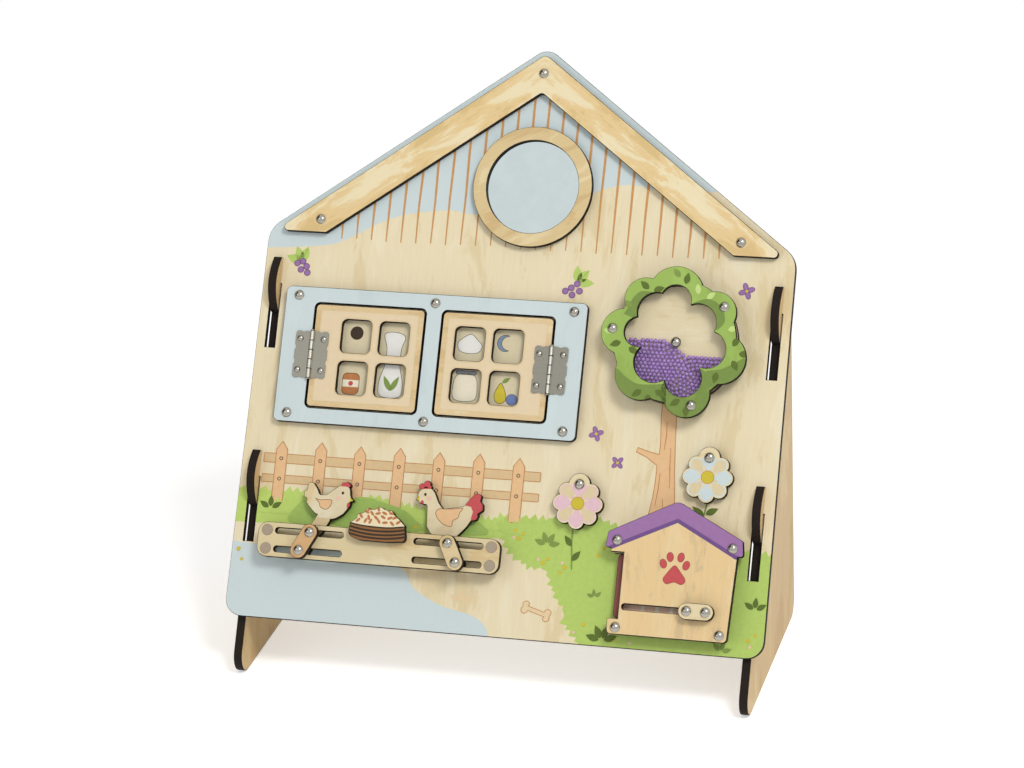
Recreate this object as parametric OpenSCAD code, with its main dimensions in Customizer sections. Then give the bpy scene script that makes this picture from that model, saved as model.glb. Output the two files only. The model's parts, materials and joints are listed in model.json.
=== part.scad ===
// House-shaped busy board. A leaning plywood panel hangs on the hooks of two
// side plates and carries play pieces: a mirror, two shutters on hinges, a bead
// wheel, two hanging daisies, two hens that slide in slots, and a slide-out tile.
// Millimetres, +Z up. The object stands on Z = 0, centred on X = 0 and in depth.

/* [Front panel] */
// Width of the panel at its bottom edge
panel_w = 385; // [382:1:420]
// How much narrower each side is at the shoulder
side_taper = 2; // [0:0.5:4]
// Height of the straight sides, measured along the panel
shoulder_h = 277; // [274:1:300]
// Height of the gable's sharp apex above the shoulders
gable_rise = 140.5; // [136:0.5:165]
// Thickness of the panel's plywood
panel_t = 5; // [5:0.5:9]
// Lean of the panel back from upright, in degrees
lean = 31.7; // [28:0.1:35]
// Distance along the panel's face from the floor to its bottom edge
panel_raise = 49.6; // [48:0.1:62]
// Radius of the two bottom corners
bottom_r = 12; // [6:1:20]
// Radius of the two shoulders
shoulder_r = 18; // [8:1:24]
// Radius of the apex
apex_r = 12; // [6:1:24]

/* [Side plates] */
// Thickness of the side plates
plate_t = 6; // [5:0.5:7]
// Distance from the panel's side edge to the middle of a side plate
plate_inset = 11.7; // [10.5:0.1:12]
// Width of the slots that take the hooks
slot_w = 7.4; // [7.2:0.1:9]
// Length of the slots
slot_len = 46; // [40:1:56]
// Lower end of the lower slots above the panel's bottom edge
low_slot_u = 53; // [44:1:70]
// Lower end of the upper slots above the panel's bottom edge
high_slot_u = 191.5; // [180:0.5:200]
// Height of a hook's neck, which fills the top of its slot
neck_h = 19; // [14:1:24]
// How far a hook reaches up the panel's face above its slot
hook_reach = 18.5; // [12:0.5:22]
// How far a hook stands out of the panel's face
hook_out = 12.5; // [9:0.5:16]
// Height up the panel at which a side plate ends
plate_top_u = 262; // [258:1:268]
// Depth of a side plate's flat top behind the panel
top_land = 17; // [12:1:40]
// Radius of the rounded toe
toe_r = 12; // [6:1:16]
// Radius of the rear corners of a side plate
heel_r = 12; // [4:1:16]

/* [Applied plywood and fasteners] */
// Thickness of the plywood pieces fixed to the panel
layer_t = 5; // [4:0.5:6]
// Diameter of the domed heads
head_d = 7.2; // [6:0.1:8]
// Height of the domed heads
head_h = 2.3; // [1.8:0.1:3]
// Diameter of the fixing screws' shanks
shank_d = 3; // [2.5:0.1:3.5]
// Diameter of the shoulders on which pieces turn or slide
pivot_d = 4; // [3.6:0.1:4.6]
// Radial clearance of a bore that turns on a shoulder or pin
run_clear = 0.06; // [0.03:0.01:0.1]
// Gap between two pieces that move over each other
slip_gap = 0.6; // [0.5:0.1:1]
// How deep fixing screws bite into the panel
screw_bite = 4.5; // [3:0.5:4.8]

/* [Roof trim] */
// Distance from the gable's edge to the trim
trim_margin = 5; // [3:0.5:8]
// Width of the trim's arms
trim_w = 22.2; // [16:0.2:24]
// Distance from the shoulder line down to the trim's lower ends
trim_drop = 1.7; // [0:0.1:4]

/* [Mirror] */
// Height of the mirror's centre above the shoulder line
mirror_rise = 39.2; // [39:0.1:42]
// Radius of the wooden ring
ring_r = 42.9; // [38:0.1:44]
// Width of the ring's visible band
ring_band = 9.7; // [6:0.1:12]
// How far the mirror reaches under the ring
mirror_lap = 3.5; // [2:0.5:5]
// Thickness of the mirror
mirror_t = 2; // [1.5:0.1:3]

/* [Window frame and shutters] */
// Distance from the panel's left edge to the frame
frame_inset = 21.6; // [21:0.1:24]
// Height of the frame's bottom edge above the panel's bottom edge
frame_u = 138.9; // [138:0.1:145]
// Gap between the frame and the crown as it turns, which the openings' width makes up
crown_gap = 10.6; // [4:0.1:16]
// Height of the openings
opening_h = 75.3; // [72:0.1:80]
// Width of the frame's outer side bars
side_bar = 22.1; // [20:0.1:23]
// Width of the frame's top and bottom bars
end_bar = 10.8; // [9:0.1:13]
// Width of the bar between the openings
middle_bar = 11.3; // [9:0.1:12]
// Corner radius of the frame
frame_r = 4; // [2:0.5:8]
// Gap between a shutter and its opening, all round
door_gap = 1.2; // [0.8:0.1:2]
// Gap between a shutter's back and the panel
door_back_gap = 0.3; // [0.2:0.1:0.8]
// Width of the shutter's stile on its hinges' side
hinge_stile = 20.2; // [18:0.1:24]
// Height of a pane opening
pane_h = 23.9; // [18:0.1:26]
// Width of the bars between the panes
pane_bar = 5.9; // [4:0.1:8]
// Width of the shutter's free stile
free_stile = 9.7; // [7:0.1:12]
// Corner radius of a pane opening
pane_r = 4; // [1:0.5:6]

/* [Butterfly hinges] */
// Length of a hinge along its pin
hinge_len = 33.5; // [26:0.5:44]
// Width of one leaf, from the pin's axis
leaf_w = 12; // [10:0.5:14]
// Thickness of the leaves
leaf_t = 0.8; // [0.6:0.1:1.2]
// Outer diameter of the knuckles
knuckle_d = 3; // [2.8:0.1:4]
// Diameter of the hinge pin
pin_d = 1.5; // [1.2:0.1:1.6]
// Distance between the two screws of a leaf
leaf_screw_gap = 22.3; // [18:0.1:23]
// Diameter of the hinge screws' domed heads
leaf_head_d = 4.6; // [4:0.1:5]
// Diameter of the hinge screws' shanks
leaf_shank_d = 1.6; // [1.2:0.1:2]

/* [Bead wheel] */
// Distance from the panel's right edge to the wheel's axis
wheel_inset = 79; // [78.5:0.1:80.5]
// Height of the wheel's axis above the panel's bottom edge
wheel_u = 212.3; // [211:0.1:214]
// Radius of the disc under the lobes
wheel_disc_r = 43; // [42.4:0.1:44]
// Distance from a screw's middle to the edge of the layers it clamps
wheel_screw_in = 4.25; // [3.6:0.05:5]
// Least wall between a screw and the bead chamber
chamber_wall = 0.2; // [0.2:0.1:0.6]
// Radius of the middle of the front ring's opening
view_disc_r = 23; // [20:0.5:26]
// Radius of the round chamber that holds the beads
chamber_r = 39.6; // [38.5:0.1:40.8]
// Thickness of the wheel's back plate
wheel_back_t = 2.4; // [2:0.1:3]
// Depth of the bead chamber
chamber_t = 3.8; // [3.6:0.1:4.4]
// Thickness of the clear window
clear_t = 1.5; // [1:0.1:2]
// Thickness of the green front ring
wheel_ring_t = 4.5; // [3:0.5:6]
// How far the front ring's lobes overhang the layers behind it
wheel_overhang = 3.5; // [3:0.1:4.5]
// Outer diameter of the sleeve that the wheel turns on
sleeve_d = 5; // [4.6:0.1:5.6]
// Diameter of a bead
bead_d = 3; // [2.6:0.1:3.1]

/* [Daisies] */
// Radius of a daisy, to the tips of its petals
daisy_r = 17.9; // [15:0.1:18.4]
// Number of petals
petals = 8; // [6:1:10]
// Distance from a daisy's middle to its pivot
daisy_pivot = 13.5; // [11:0.1:13.8]
// Radius of the round tab at the pivot, which takes a daisy's top petal in
daisy_tab_r = 7.6; // [7:0.1:8.6]
// Distance from the kennel's middle to the left daisy
left_daisy_x = 71.7; // [70:0.1:74]
// Height of the left daisy's pivot
left_daisy_u = 109.7; // [107:0.1:112]
// Distance from the kennel's middle to the right daisy
right_daisy_x = 17.2; // [15:0.1:17.3]
// Height of the right daisy's pivot
right_daisy_u = 134.4; // [133:0.1:134.6]

/* [Hen slider] */
// Distance from the panel's left edge to the slider plate
slider_inset = 22.3; // [22:0.1:24]
// Height of the plate's bottom edge
slider_u = 42.2; // [38:0.1:43]
// Width of the plate
slider_w = 175.5; // [172:0.5:184]
// Height of the plate
slider_h = 24.5; // [23:0.1:26]
// Corner radius of the plate
slider_r = 7; // [3:0.5:9]
// Distance between the two rows of slots
slot_rows = 13; // [12:0.1:14]
// End-to-end length of each slot
track_len = 49.8; // [44:0.1:52]
// Distance from a fastener to the nearest end of a slot
track_margin = 5.95; // [4:0.05:10]
// Distance from the plate's end to its fasteners
slider_end = 6.5; // [5.5:0.1:7]
// Diameter of the flat heads at the plate's ends
slider_head_d = 8.2; // [7:0.1:9]
// Distance between the two bolts of a link
link_pitch = 14.6; // [14.5:0.1:15.5]
// Width of a link
link_w = 11.6; // [9:0.1:12]
// Side clearance of a bolt in its slot
track_clear = 0.1; // [0.05:0.01:0.2]
// Rest place of the left hen's upper bolt, from the middle of its slot
left_hen_rest = 1.5; // [-8:0.1:8]
// Rest place of the right hen's upper bolt, from the middle of its slot
right_hen_rest = 0.6; // [-8:0.1:4]
// Distance from the left hen's upper bolt to the tip of its beak, which sizes both hens
hen_reach = 26.6; // [20:0.1:26.7]
// How far the feed bowl's base lies below the plate's top edge
bowl_drop = 8; // [6:0.1:10]
// Width of the feed bowl
bowl_w = 43; // [36:0.5:43]
// Height of the feed bowl with its heap
bowl_h = 24.3; // [20:0.1:26]

/* [Kennel] */
// Distance from the panel's right edge to the kennel's middle
kennel_inset = 65.7; // [65.5:0.1:67]
// Height of the kennel's bottom edge
kennel_u = 8.4; // [6:0.1:8.6]
// Width of the kennel's wall at its bottom
kennel_low_w = 83.4; // [80:0.1:84]
// Width of the kennel's wall under the roof
kennel_high_w = 88; // [86:0.1:90]
// Width of the roof
roof_w = 95; // [93:0.1:97]
// Height of the wall, from its bottom edge to the roof
wall_h = 58.8; // [57:0.1:60]
// Height of the roof's upright ends
eave_h = 11.2; // [9:0.1:12]
// Height of the sharp ridge above the kennel's bottom edge
ridge_h = 94; // [90:0.1:94.5]
// Height of the tile that slides out
tile_h = 44; // [40:0.1:44.5]
// Width of the tile
tile_w = 72; // [68:0.1:73]
// How far the tile shows at the kennel's side when it is shut
tile_peep = 4.8; // [2:0.1:6]
// Height of the slot above the kennel's bottom edge
kennel_slot_u = 19.2; // [18:0.1:24]
// End-to-end length of the kennel's slot
kennel_slot_len = 61.3; // [52:0.1:62]
// Distance between the handle's two bolts
handle_pitch = 13.1; // [11:0.1:14]
// Width of the handle
handle_w = 11.4; // [9:0.1:12]

/* [Hidden] */
$fn = 48;
eps = 0.02;
sheet_cut = 1;

// Panel coordinates: X across, U up along the face, H out of the face.
apex_u = shoulder_h + gable_rise;
shoulder_x = panel_w / 2 - side_taper;
gable_angle = atan(gable_rise / shoulder_x);
apex_half = 90 - gable_angle;
panel_top = apex_u - apex_r * (1 / sin(apex_half) - 1);

// Side plates, drawn in Y and Z from the floor line of the panel's face.
function side_point(u, h) = [
    (panel_raise + u) * sin(lean) - h * cos(lean),
    (panel_raise + u) * cos(lean) + h * sin(lean)
];
plate_x = panel_w / 2 - plate_inset;
toe_y = panel_t / cos(lean);
rear_y = side_point(plate_top_u, -panel_t)[0] + top_land;
toe_half = (90 - lean) / 2;
toe_front = toe_y + toe_r / tan(toe_half) - toe_r;
panel_rear = side_point(panel_top, -panel_t)[0];
origin_y = (toe_front + max(panel_rear, rear_y)) / 2;

// Heights above the panel's face
hen_h = slip_gap;
slider_base_h = hen_h + layer_t + slip_gap + 0.3;
slider_top_h = slider_base_h + layer_t;
link_h = slider_top_h + slip_gap;
tile_base_h = slip_gap;
kennel_base_h = tile_base_h + layer_t + slip_gap;
kennel_top_h = kennel_base_h + layer_t;
handle_h = kennel_top_h + slip_gap;
washer_t = slip_gap;
wheel_back_h = washer_t;
chamber_h = wheel_back_h + wheel_back_t;
clear_h = chamber_h + chamber_t;
wheel_ring_h = clear_h + clear_t;
wheel_top_h = wheel_ring_h + wheel_ring_t;

// The crown: each lobe for a disc of radius 43, as angle, distance of its centre from the axis, radius
wheel_x = panel_w / 2 - wheel_inset;
lobe_scale = wheel_disc_r / 43;
wheel_lobes = [for (lobe = [[94, 32.7, 19.5], [39, 33.7, 15], [-17, 34.3, 18], [-72.5, 37.6, 16.7],
        [-131.5, 31.9, 18.7], [173, 36.5, 16.2], [129.5, 36.4, 15]])
    [lobe[0], lobe[1] * lobe_scale, lobe[2] * lobe_scale]];
function lobe_end(i) = wheel_lobes[i][1] + wheel_lobes[i][2];
wheel_reach = max([for (i = [0:len(wheel_lobes) - 1]) lobe_end(i)]);

// Window frame and shutters. The frame runs from its inset at the left to its gap from the crown.
frame_x = -panel_w / 2 + frame_inset;
frame_w = wheel_x - wheel_reach - crown_gap - frame_x;
opening_w = (frame_w - 2 * side_bar - middle_bar) / 2;
frame_h = opening_h + 2 * end_bar;
door_w = opening_w - 2 * door_gap;
door_h = opening_h - 2 * door_gap;
door_t = layer_t - door_back_gap;
pane_w = (door_w - free_stile - hinge_stile - pane_bar) / 2;
opening_u = frame_u + end_bar;
left_opening_x = frame_x + side_bar;
right_opening_x = left_opening_x + opening_w + middle_bar;
left_axis_x = left_opening_x + door_gap / 2;
right_axis_x = right_opening_x + opening_w - door_gap / 2;
hinge_u = opening_u + opening_h / 2;
hinge_axis_h = layer_t + knuckle_d / 2 + 0.05;
knuckles = 5;
knuckle_gap = 0.3;
knuckle_len = hinge_len / knuckles;
leaf_screw_x = leaf_w - 3.4;
leaf_head_h = 1.6;

// Bead wheel. The front ring's opening follows the chamber, so its lobes are for a chamber of radius 39.6.
view_scale = chamber_r / 39.6;
view_lobes = [for (lobe = [[94, 28.2, 11], [43, 19.7, 13.5], [-11, 23.7, 13], [-72, 26.7, 13],
        [-130, 20, 14.5], [169, 26, 10.6], [127, 24.5, 13.5]])
    [lobe[0], lobe[1] * view_scale, lobe[2] * view_scale]];
// The three screws that clamp the wheel's layers: angle and distance
wheel_screws = [[38.5, chamber_r + shank_d / 2 + chamber_wall],
    [172, lobe_end(5) - wheel_overhang - wheel_screw_in],
    [-70.5, lobe_end(3) - wheel_overhang - wheel_screw_in]];
bead_pitch = bead_d + 0.12;
bead_reach = chamber_r - bead_d / 2 - 0.25;
function heap_top(x) = x < -8 ? 0.6 : x > 7 ? -9.4 : 0.6 - 10 * (x + 8) / 15;
function bead_level(x) = heap_top(x / view_scale) * view_scale;

// Kennel, daisies and slider plate
kennel_x = panel_w / 2 - kennel_inset;
daisy_places = [[kennel_x - left_daisy_x, left_daisy_u], [kennel_x + right_daisy_x, right_daisy_u]];
petal_r = daisy_r * 0.32;
slider_x = -panel_w / 2 + slider_inset + slider_w / 2;
slider_mid_u = slider_u + slider_h / 2;
track_w = pivot_d + 2 * track_clear;
track_x = slider_w / 2 - slider_end - track_margin - track_len / 2;
link_run = sqrt(pow(link_pitch, 2) - pow(slot_rows, 2));
left_pin = [slider_x - track_x + left_hen_rest, slider_mid_u + slot_rows / 2];
right_pin = [slider_x + track_x + right_hen_rest, slider_mid_u + slot_rows / 2];
leg_w = 8.4;
spacer_d = 6.4;
tile_x = kennel_x - kennel_low_w / 2 + 2.2;
notch_x = tile_x + tile_peep;
tile_u = kennel_u + 11.5;
tile_gap = 0.4;
kennel_slot_x = kennel_x + kennel_low_w / 2 - 13.1 - kennel_slot_len;
kennel_pin_u = kennel_u + kennel_slot_u;
handle_pins = [for (i = [1, 0])
    [kennel_slot_x + kennel_slot_len - track_w / 2 - i * handle_pitch, kennel_pin_u]];

// Colours
ply = "#E5D7B2";
warm_ply = "#E3C68F";
pale_blue = "#C9D5D5";
steel = "#B9B7B0";
leaf_green = "#9EBB60";

// Places its children in panel coordinates: X across, Y up the face, Z out of the face.
module on_panel() {
    foot = side_point(0, 0);
    translate([0, foot[0] - origin_y, foot[1]])
        rotate([90 - lean, 0, 0]) children();
}

// Extrudes an outline in panel coordinates from height h, t thick.
module sheet(h, t) {
    on_panel() translate([0, 0, h]) linear_extrude(t) children();
}

function unit(v) = v / norm(v);

// The arc that rounds corner b between its neighbours a and c.
function corner_arc(a, b, c, r, steps = 8) =
    let (to_a = unit(a - b), to_c = unit(c - b),
         half = acos(max(-1, min(1, to_a * to_c))) / 2,
         centre = b + unit(to_a + to_c) * r / sin(half),
         first = b + to_a * r / tan(half) - centre,
         last = b + to_c * r / tan(half) - centre,
         start = atan2(first[1], first[0]),
         turn = (atan2(last[1], last[0]) - start + 540) % 360 - 180)
    [for (i = [0:steps]) centre + r * [cos(start + turn * i / steps), sin(start + turn * i / steps)]];

// An outline given as [x, y, corner radius], with its corners rounded.
function rounded(points) =
    let (n = len(points))
    [for (i = [0:n - 1])
        let (a = points[(i + n - 1) % n], b = points[i], c = points[(i + 1) % n])
        each b[2] > 0 ? corner_arc([a[0], a[1]], [b[0], b[1]], [c[0], c[1]], b[2]) : [[b[0], b[1]]]];

function mirrored(points) = [for (i = [len(points) - 1:-1:0]) [-points[i][0], points[i][1], points[i][2]]];

// A rectangle from its lower left corner, with round corners.
module rounded_rect(w, h, r) {
    translate([r, 0]) square([w - 2 * r, h]);
    translate([0, r]) square([w, h - 2 * r]);
    for (x = [r, w - r], y = [r, h - r]) translate([x, y]) circle(r);
}

// A bar with round ends between two points.
module bar(a, b, w) {
    translate(a) circle(d = w);
    translate(b) circle(d = w);
    translate(a) rotate(atan2(b[1] - a[1], b[0] - a[0]))
        translate([0, -w / 2]) square([norm(b - a), w]);
}

// A domed head on height h with a shank below it, at a place on the panel.
module dome_screw(place, h, depth, shank = shank_d, d = head_d, tall = head_h) {
    ball_r = (pow(d / 2, 2) + pow(tall, 2)) / (2 * tall);
    on_panel() translate([place[0], place[1], h]) {
        intersection() {
            translate([0, 0, tall - ball_r]) sphere(ball_r);
            cylinder(d = d, h = tall);
        }
        translate([0, 0, -depth]) cylinder(d = shank, h = depth + eps);
    }
}

module hole(place, d) {
    translate(place) circle(d = d);
}

// ---- Panel and side plates -------------------------------------------------

module panel_outline() {
    polygon(rounded([[-panel_w / 2, 0, bottom_r], [panel_w / 2, 0, bottom_r],
        [shoulder_x, shoulder_h, shoulder_r], [0, apex_u, apex_r], [-shoulder_x, shoulder_h, shoulder_r]]));
}

module front_panel() {
    color(ply) sheet(-panel_t, panel_t) difference() {
        panel_outline();
        for (side = [-1, 1], u = [low_slot_u, high_slot_u])
            translate([side * plate_x - slot_w / 2, u]) square([slot_w, slot_len]);
        for (place = frame_screw_places()) hole(place, shank_d);
        for (place = trim_screw_places()) hole(place, shank_d);
        for (place = kennel_screw_places()) hole(place, shank_d);
        for (place = slider_fastener_places()) hole(place, shank_d);
        for (place = daisy_places) hole(place, pivot_d);
        hole([wheel_x, wheel_u], shank_d);
    }
}

// One hook in side view, from the bottom of its neck to the top of its slot.
function hook_outline(u) =
    let (top = u + slot_len, low = top - neck_h, mid = top, tip = top + hook_reach,
         belly = [for (i = [0:10]) let (k = i / 10) [
            low + (tip - low) * k,
            hook_out * pow(sin(14 + 152 * pow(k, 0.94)), 0.9) - hook_out * 0.28 * (1 - k)]])
    concat([side_point(low - 1.5, -panel_t)],
        [for (p = belly) side_point(p[0], p[1])],
        [side_point(tip, 0.1), side_point(mid, 0.1), side_point(mid, -panel_t)]);

module side_plate(side) {
    toe = corner_arc([rear_y, 0], [toe_y, 0], side_point(low_slot_u, -panel_t), toe_r);
    top = side_point(plate_top_u, -panel_t);
    heel = corner_arc([rear_y, top[1]], [rear_y, 0], [toe_y, 0], heel_r);
    nape = corner_arc(top, [rear_y, top[1]], [rear_y, 0], heel_r);
    outline = concat(toe, hook_outline(low_slot_u), hook_outline(high_slot_u), [top], nape, heel);
    color(ply) translate([side * plate_x - plate_t / 2, -origin_y, 0])
        rotate([90, 0, 90]) linear_extrude(plate_t) polygon(outline);
}

module left_side_plate() { side_plate(-1); }

module right_side_plate() { side_plate(1); }

// ---- Roof trim and mirror --------------------------------------------------

trim_low_u = shoulder_h - trim_drop;
trim_out_u = apex_u - trim_margin / cos(gable_angle);
trim_in_u = trim_out_u - trim_w / cos(gable_angle);
function trim_half(u) = (u - trim_low_u) / tan(gable_angle);
function trim_screw_places() =
    let (inset = (trim_half(trim_out_u) + trim_half(trim_in_u)) / 2 - 14)
    [[0, (trim_out_u + trim_in_u) / 2], [-inset, trim_low_u + 9.5], [inset, trim_low_u + 9.5]];

module roof_trim() {
    color(warm_ply) sheet(0, layer_t) difference() {
        polygon(rounded([[-trim_half(trim_out_u), trim_low_u, 3], [-trim_half(trim_in_u), trim_low_u, 2],
            [0, trim_in_u, 3], [trim_half(trim_in_u), trim_low_u, 2],
            [trim_half(trim_out_u), trim_low_u, 3], [0, trim_out_u, 5]]));
        for (place = trim_screw_places()) hole(place, shank_d);
    }
}

module roof_trim_screws() {
    color(steel) for (place = trim_screw_places()) dome_screw(place, layer_t, layer_t + screw_bite);
}

mirror_u = shoulder_h + mirror_rise;
mirror_view_r = ring_r - ring_band;

module mirror_ring() {
    color(warm_ply) on_panel() translate([0, mirror_u, 0]) difference() {
        cylinder(r = ring_r, h = layer_t, $fn = 96);
        translate([0, 0, -sheet_cut]) cylinder(r = mirror_view_r, h = layer_t + 2 * sheet_cut, $fn = 96);
        translate([0, 0, -sheet_cut])
            cylinder(r = mirror_view_r + mirror_lap + 0.2, h = mirror_t + sheet_cut, $fn = 96);
    }
}

module mirror_disc() {
    color("#C8D6D8") on_panel() translate([0, mirror_u, 0])
        cylinder(r = mirror_view_r + mirror_lap, h = mirror_t, $fn = 96);
}

// ---- Window frame, shutters and hinges -------------------------------------

function frame_screw_places() =
    let (middle_x = left_opening_x + opening_w + middle_bar / 2)
    [for (x = [frame_x + 9.5, middle_x, frame_x + frame_w - 9.5],
          u = [frame_u + 6.4, frame_u + frame_h - 6.4]) [x, u]];

module window_frame() {
    color(pale_blue) sheet(0, layer_t) difference() {
        translate([frame_x, frame_u]) rounded_rect(frame_w, frame_h, frame_r);
        for (x = [left_opening_x, right_opening_x])
            translate([x, opening_u]) rounded_rect(opening_w, opening_h, frame_r);
        for (place = frame_screw_places()) hole(place, shank_d);
        for (side = [-1, 1], v = [-1, 1])
            hole(leaf_screw_place(side, side, v), leaf_shank_d);
    }
}

module window_frame_screws() {
    color(steel) for (place = frame_screw_places()) dome_screw(place, layer_t, layer_t + screw_bite);
}

// Screw places of a leaf: hinge is -1 for the left one, toward is the way that the leaf points in X.
function leaf_screw_place(hinge, toward, v) =
    [(hinge < 0 ? left_axis_x : right_axis_x) + toward * leaf_screw_x, hinge_u + v * leaf_screw_gap / 2];

// Shutter with four panes; hinge is -1 for hinges on its left edge, 1 for its right.
module door(hinge) {
    x = (hinge < 0 ? left_opening_x : right_opening_x) + door_gap;
    panes_w = 2 * pane_w + pane_bar;
    panes_x = hinge < 0 ? x + door_w - free_stile - panes_w : x + free_stile;
    panes_u = opening_u + (opening_h - 2 * pane_h - pane_bar) / 2;
    color(ply) sheet(door_back_gap, door_t) difference() {
        translate([x, opening_u + door_gap]) rounded_rect(door_w, door_h, frame_r - 1);
        for (i = [0, 1], j = [0, 1])
            translate([panes_x + i * (pane_w + pane_bar), panes_u + j * (pane_h + pane_bar)])
                rounded_rect(pane_w, pane_h, pane_r);
        for (v = [-1, 1]) hole(leaf_screw_place(hinge, -hinge, v), leaf_shank_d);
    }
}

module left_door() { door(-1); }

module right_door() { door(1); }

// Half of a butterfly hinge. Parity 0 has the outer knuckles, parity 1 the inner ones.
module leaf(hinge, toward, parity) {
    axis_x = hinge < 0 ? left_axis_x : right_axis_x;
    color(steel) on_panel() translate([axis_x, hinge_u, 0]) mirror([toward < 0 ? 1 : 0, 0, 0]) {
        difference() {
            union() {
                translate([0, -hinge_len / 2, layer_t]) linear_extrude(leaf_t) difference() {
                    rounded_rect(leaf_w, hinge_len, 2);
                    for (v = [-1, 1]) {
                        translate([leaf_w + 2.4, hinge_len / 2 + v * 5.2]) circle(3.2);
                        translate([leaf_w - 5.6, hinge_len / 2 + v * (hinge_len / 2 + 2.6)]) circle(3.2);
                        hole([leaf_screw_x, hinge_len / 2 + v * leaf_screw_gap / 2], leaf_shank_d);
                    }
                }
                translate([0, -hinge_len / 2, hinge_axis_h]) rotate([-90, 0, 0])
                    cylinder(d = knuckle_d, h = hinge_len);
            }
            // Room for the other leaf's knuckles
            for (k = [0:knuckles - 1]) if (k % 2 != parity)
                translate([-knuckle_d, -hinge_len / 2 + k * knuckle_len - knuckle_gap / 2, layer_t - sheet_cut])
                    cube([knuckle_d * 1.5 + 0.4, knuckle_len + knuckle_gap, knuckle_d + 2 * sheet_cut]);
            // The leaf starts at the pin, so nothing of it lies on the other side
            translate([-leaf_w - knuckle_d / 2, -hinge_len, layer_t - sheet_cut])
                cube([leaf_w, 2 * hinge_len, knuckle_d + 2 * sheet_cut]);
            translate([0, -hinge_len / 2 - sheet_cut, hinge_axis_h]) rotate([-90, 0, 0])
                cylinder(d = pin_d + 2 * run_clear, h = hinge_len + 2 * sheet_cut);
        }
    }
}

module left_frame_leaf() { leaf(-1, -1, 0); }

module right_frame_leaf() { leaf(1, 1, 0); }

module left_door_leaf() { leaf(-1, 1, 1); }

module right_door_leaf() { leaf(1, -1, 1); }

// The pin has a small head at each end that keeps it in its knuckles.
module hinge_pin(axis_x) {
    color(steel) on_panel() translate([axis_x, hinge_u - hinge_len / 2, hinge_axis_h]) rotate([-90, 0, 0]) {
        cylinder(d = pin_d, h = hinge_len);
        translate([0, 0, -0.9]) cylinder(d = pin_d + 0.9, h = 0.85);
        translate([0, 0, -0.1]) cylinder(d = pin_d, h = 0.2);
        translate([0, 0, hinge_len + 0.05]) cylinder(d = pin_d + 0.9, h = 0.85);
        translate([0, 0, hinge_len - 0.1]) cylinder(d = pin_d, h = 0.2);
    }
}

module left_hinge_pin() { hinge_pin(left_axis_x); }

module right_hinge_pin() { hinge_pin(right_axis_x); }

module leaf_screws(hinge, toward) {
    color(steel) for (v = [-1, 1])
        dome_screw(leaf_screw_place(hinge, toward, v), layer_t + leaf_t, leaf_t + 3.6, leaf_shank_d, leaf_head_d, leaf_head_h);
}

module left_frame_leaf_screws() { leaf_screws(-1, -1); }

module right_frame_leaf_screws() { leaf_screws(1, 1); }

module left_door_leaf_screws() { leaf_screws(-1, 1); }

module right_door_leaf_screws() { leaf_screws(1, -1); }

// ---- Bead wheel ------------------------------------------------------------

// A cloud outline: round lobes, each smaller by inset, with a disc under them.
module cloud(lobes, disc_r, inset = 0) {
    circle(disc_r, $fn = 96);
    for (lobe = lobes) rotate(lobe[0]) translate([lobe[1], 0]) circle(lobe[2] - inset);
}

module wheel_sheet(h, t) {
    sheet(h, t) translate([wheel_x, wheel_u]) difference() {
        children();
        for (s = wheel_screws) rotate(s[0]) translate([s[1], 0]) circle(d = shank_d);
    }
}

module wheel_back() {
    color(ply) wheel_sheet(wheel_back_h, wheel_back_t) difference() {
        cloud(wheel_lobes, wheel_disc_r, wheel_overhang);
        circle(d = sleeve_d + 2 * run_clear);
    }
}

module wheel_chamber() {
    color(ply) wheel_sheet(chamber_h, chamber_t) difference() {
        cloud(wheel_lobes, wheel_disc_r, wheel_overhang);
        circle(chamber_r, $fn = 96);
    }
}

module wheel_window() {
    color("#DDE6E6", 0.4) wheel_sheet(clear_h, clear_t) difference() {
        cloud(wheel_lobes, wheel_disc_r, wheel_overhang);
        circle(d = sleeve_d + 2 * run_clear);
    }
}

module wheel_ring() {
    color(leaf_green) wheel_sheet(wheel_ring_h, wheel_ring_t) difference() {
        cloud(wheel_lobes, wheel_disc_r);
        cloud(view_lobes, view_disc_r);
    }
}

module wheel_screws() {
    color(steel) for (s = wheel_screws)
        dome_screw([wheel_x + s[1] * cos(s[0]), wheel_u + s[1] * sin(s[0])],
            wheel_top_h, wheel_top_h - wheel_back_h - 0.6);
}

// Loose beads, lying in rows in the low part of the chamber.
module beads() {
    row_h = bead_pitch * sin(60);
    rows = ceil(bead_reach / row_h);
    color("#9B7AB8") on_panel() translate([wheel_x, wheel_u, chamber_h + chamber_t / 2])
        for (j = [-rows:1], i = [-rows:rows]) {
            x = (i + (j % 2 == 0 ? 0 : 0.5)) * bead_pitch;
            y = j * row_h;
            if (norm([x, y]) < bead_reach && norm([x, y]) > sleeve_d / 2 + bead_d / 2 + 0.3 && y < bead_level(x))
                translate([x, y, 0]) sphere(d = bead_d);
        }
}

module wheel_washer() {
    color(steel) on_panel() translate([wheel_x, wheel_u, 0]) difference() {
        cylinder(d = 12, h = washer_t);
        translate([0, 0, -sheet_cut]) cylinder(d = sleeve_d + 0.2, h = washer_t + 2 * sheet_cut);
    }
}

module wheel_sleeve() {
    color(steel) on_panel() translate([wheel_x, wheel_u, 0]) difference() {
        cylinder(d = sleeve_d, h = wheel_ring_h + 0.2);
        translate([0, 0, -sheet_cut]) cylinder(d = shank_d, h = wheel_ring_h + 2 * sheet_cut);
    }
}

module wheel_bolt() {
    color(steel) dome_screw([wheel_x, wheel_u], wheel_ring_h + 0.2, wheel_ring_h + 0.2 + panel_t);
}

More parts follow.
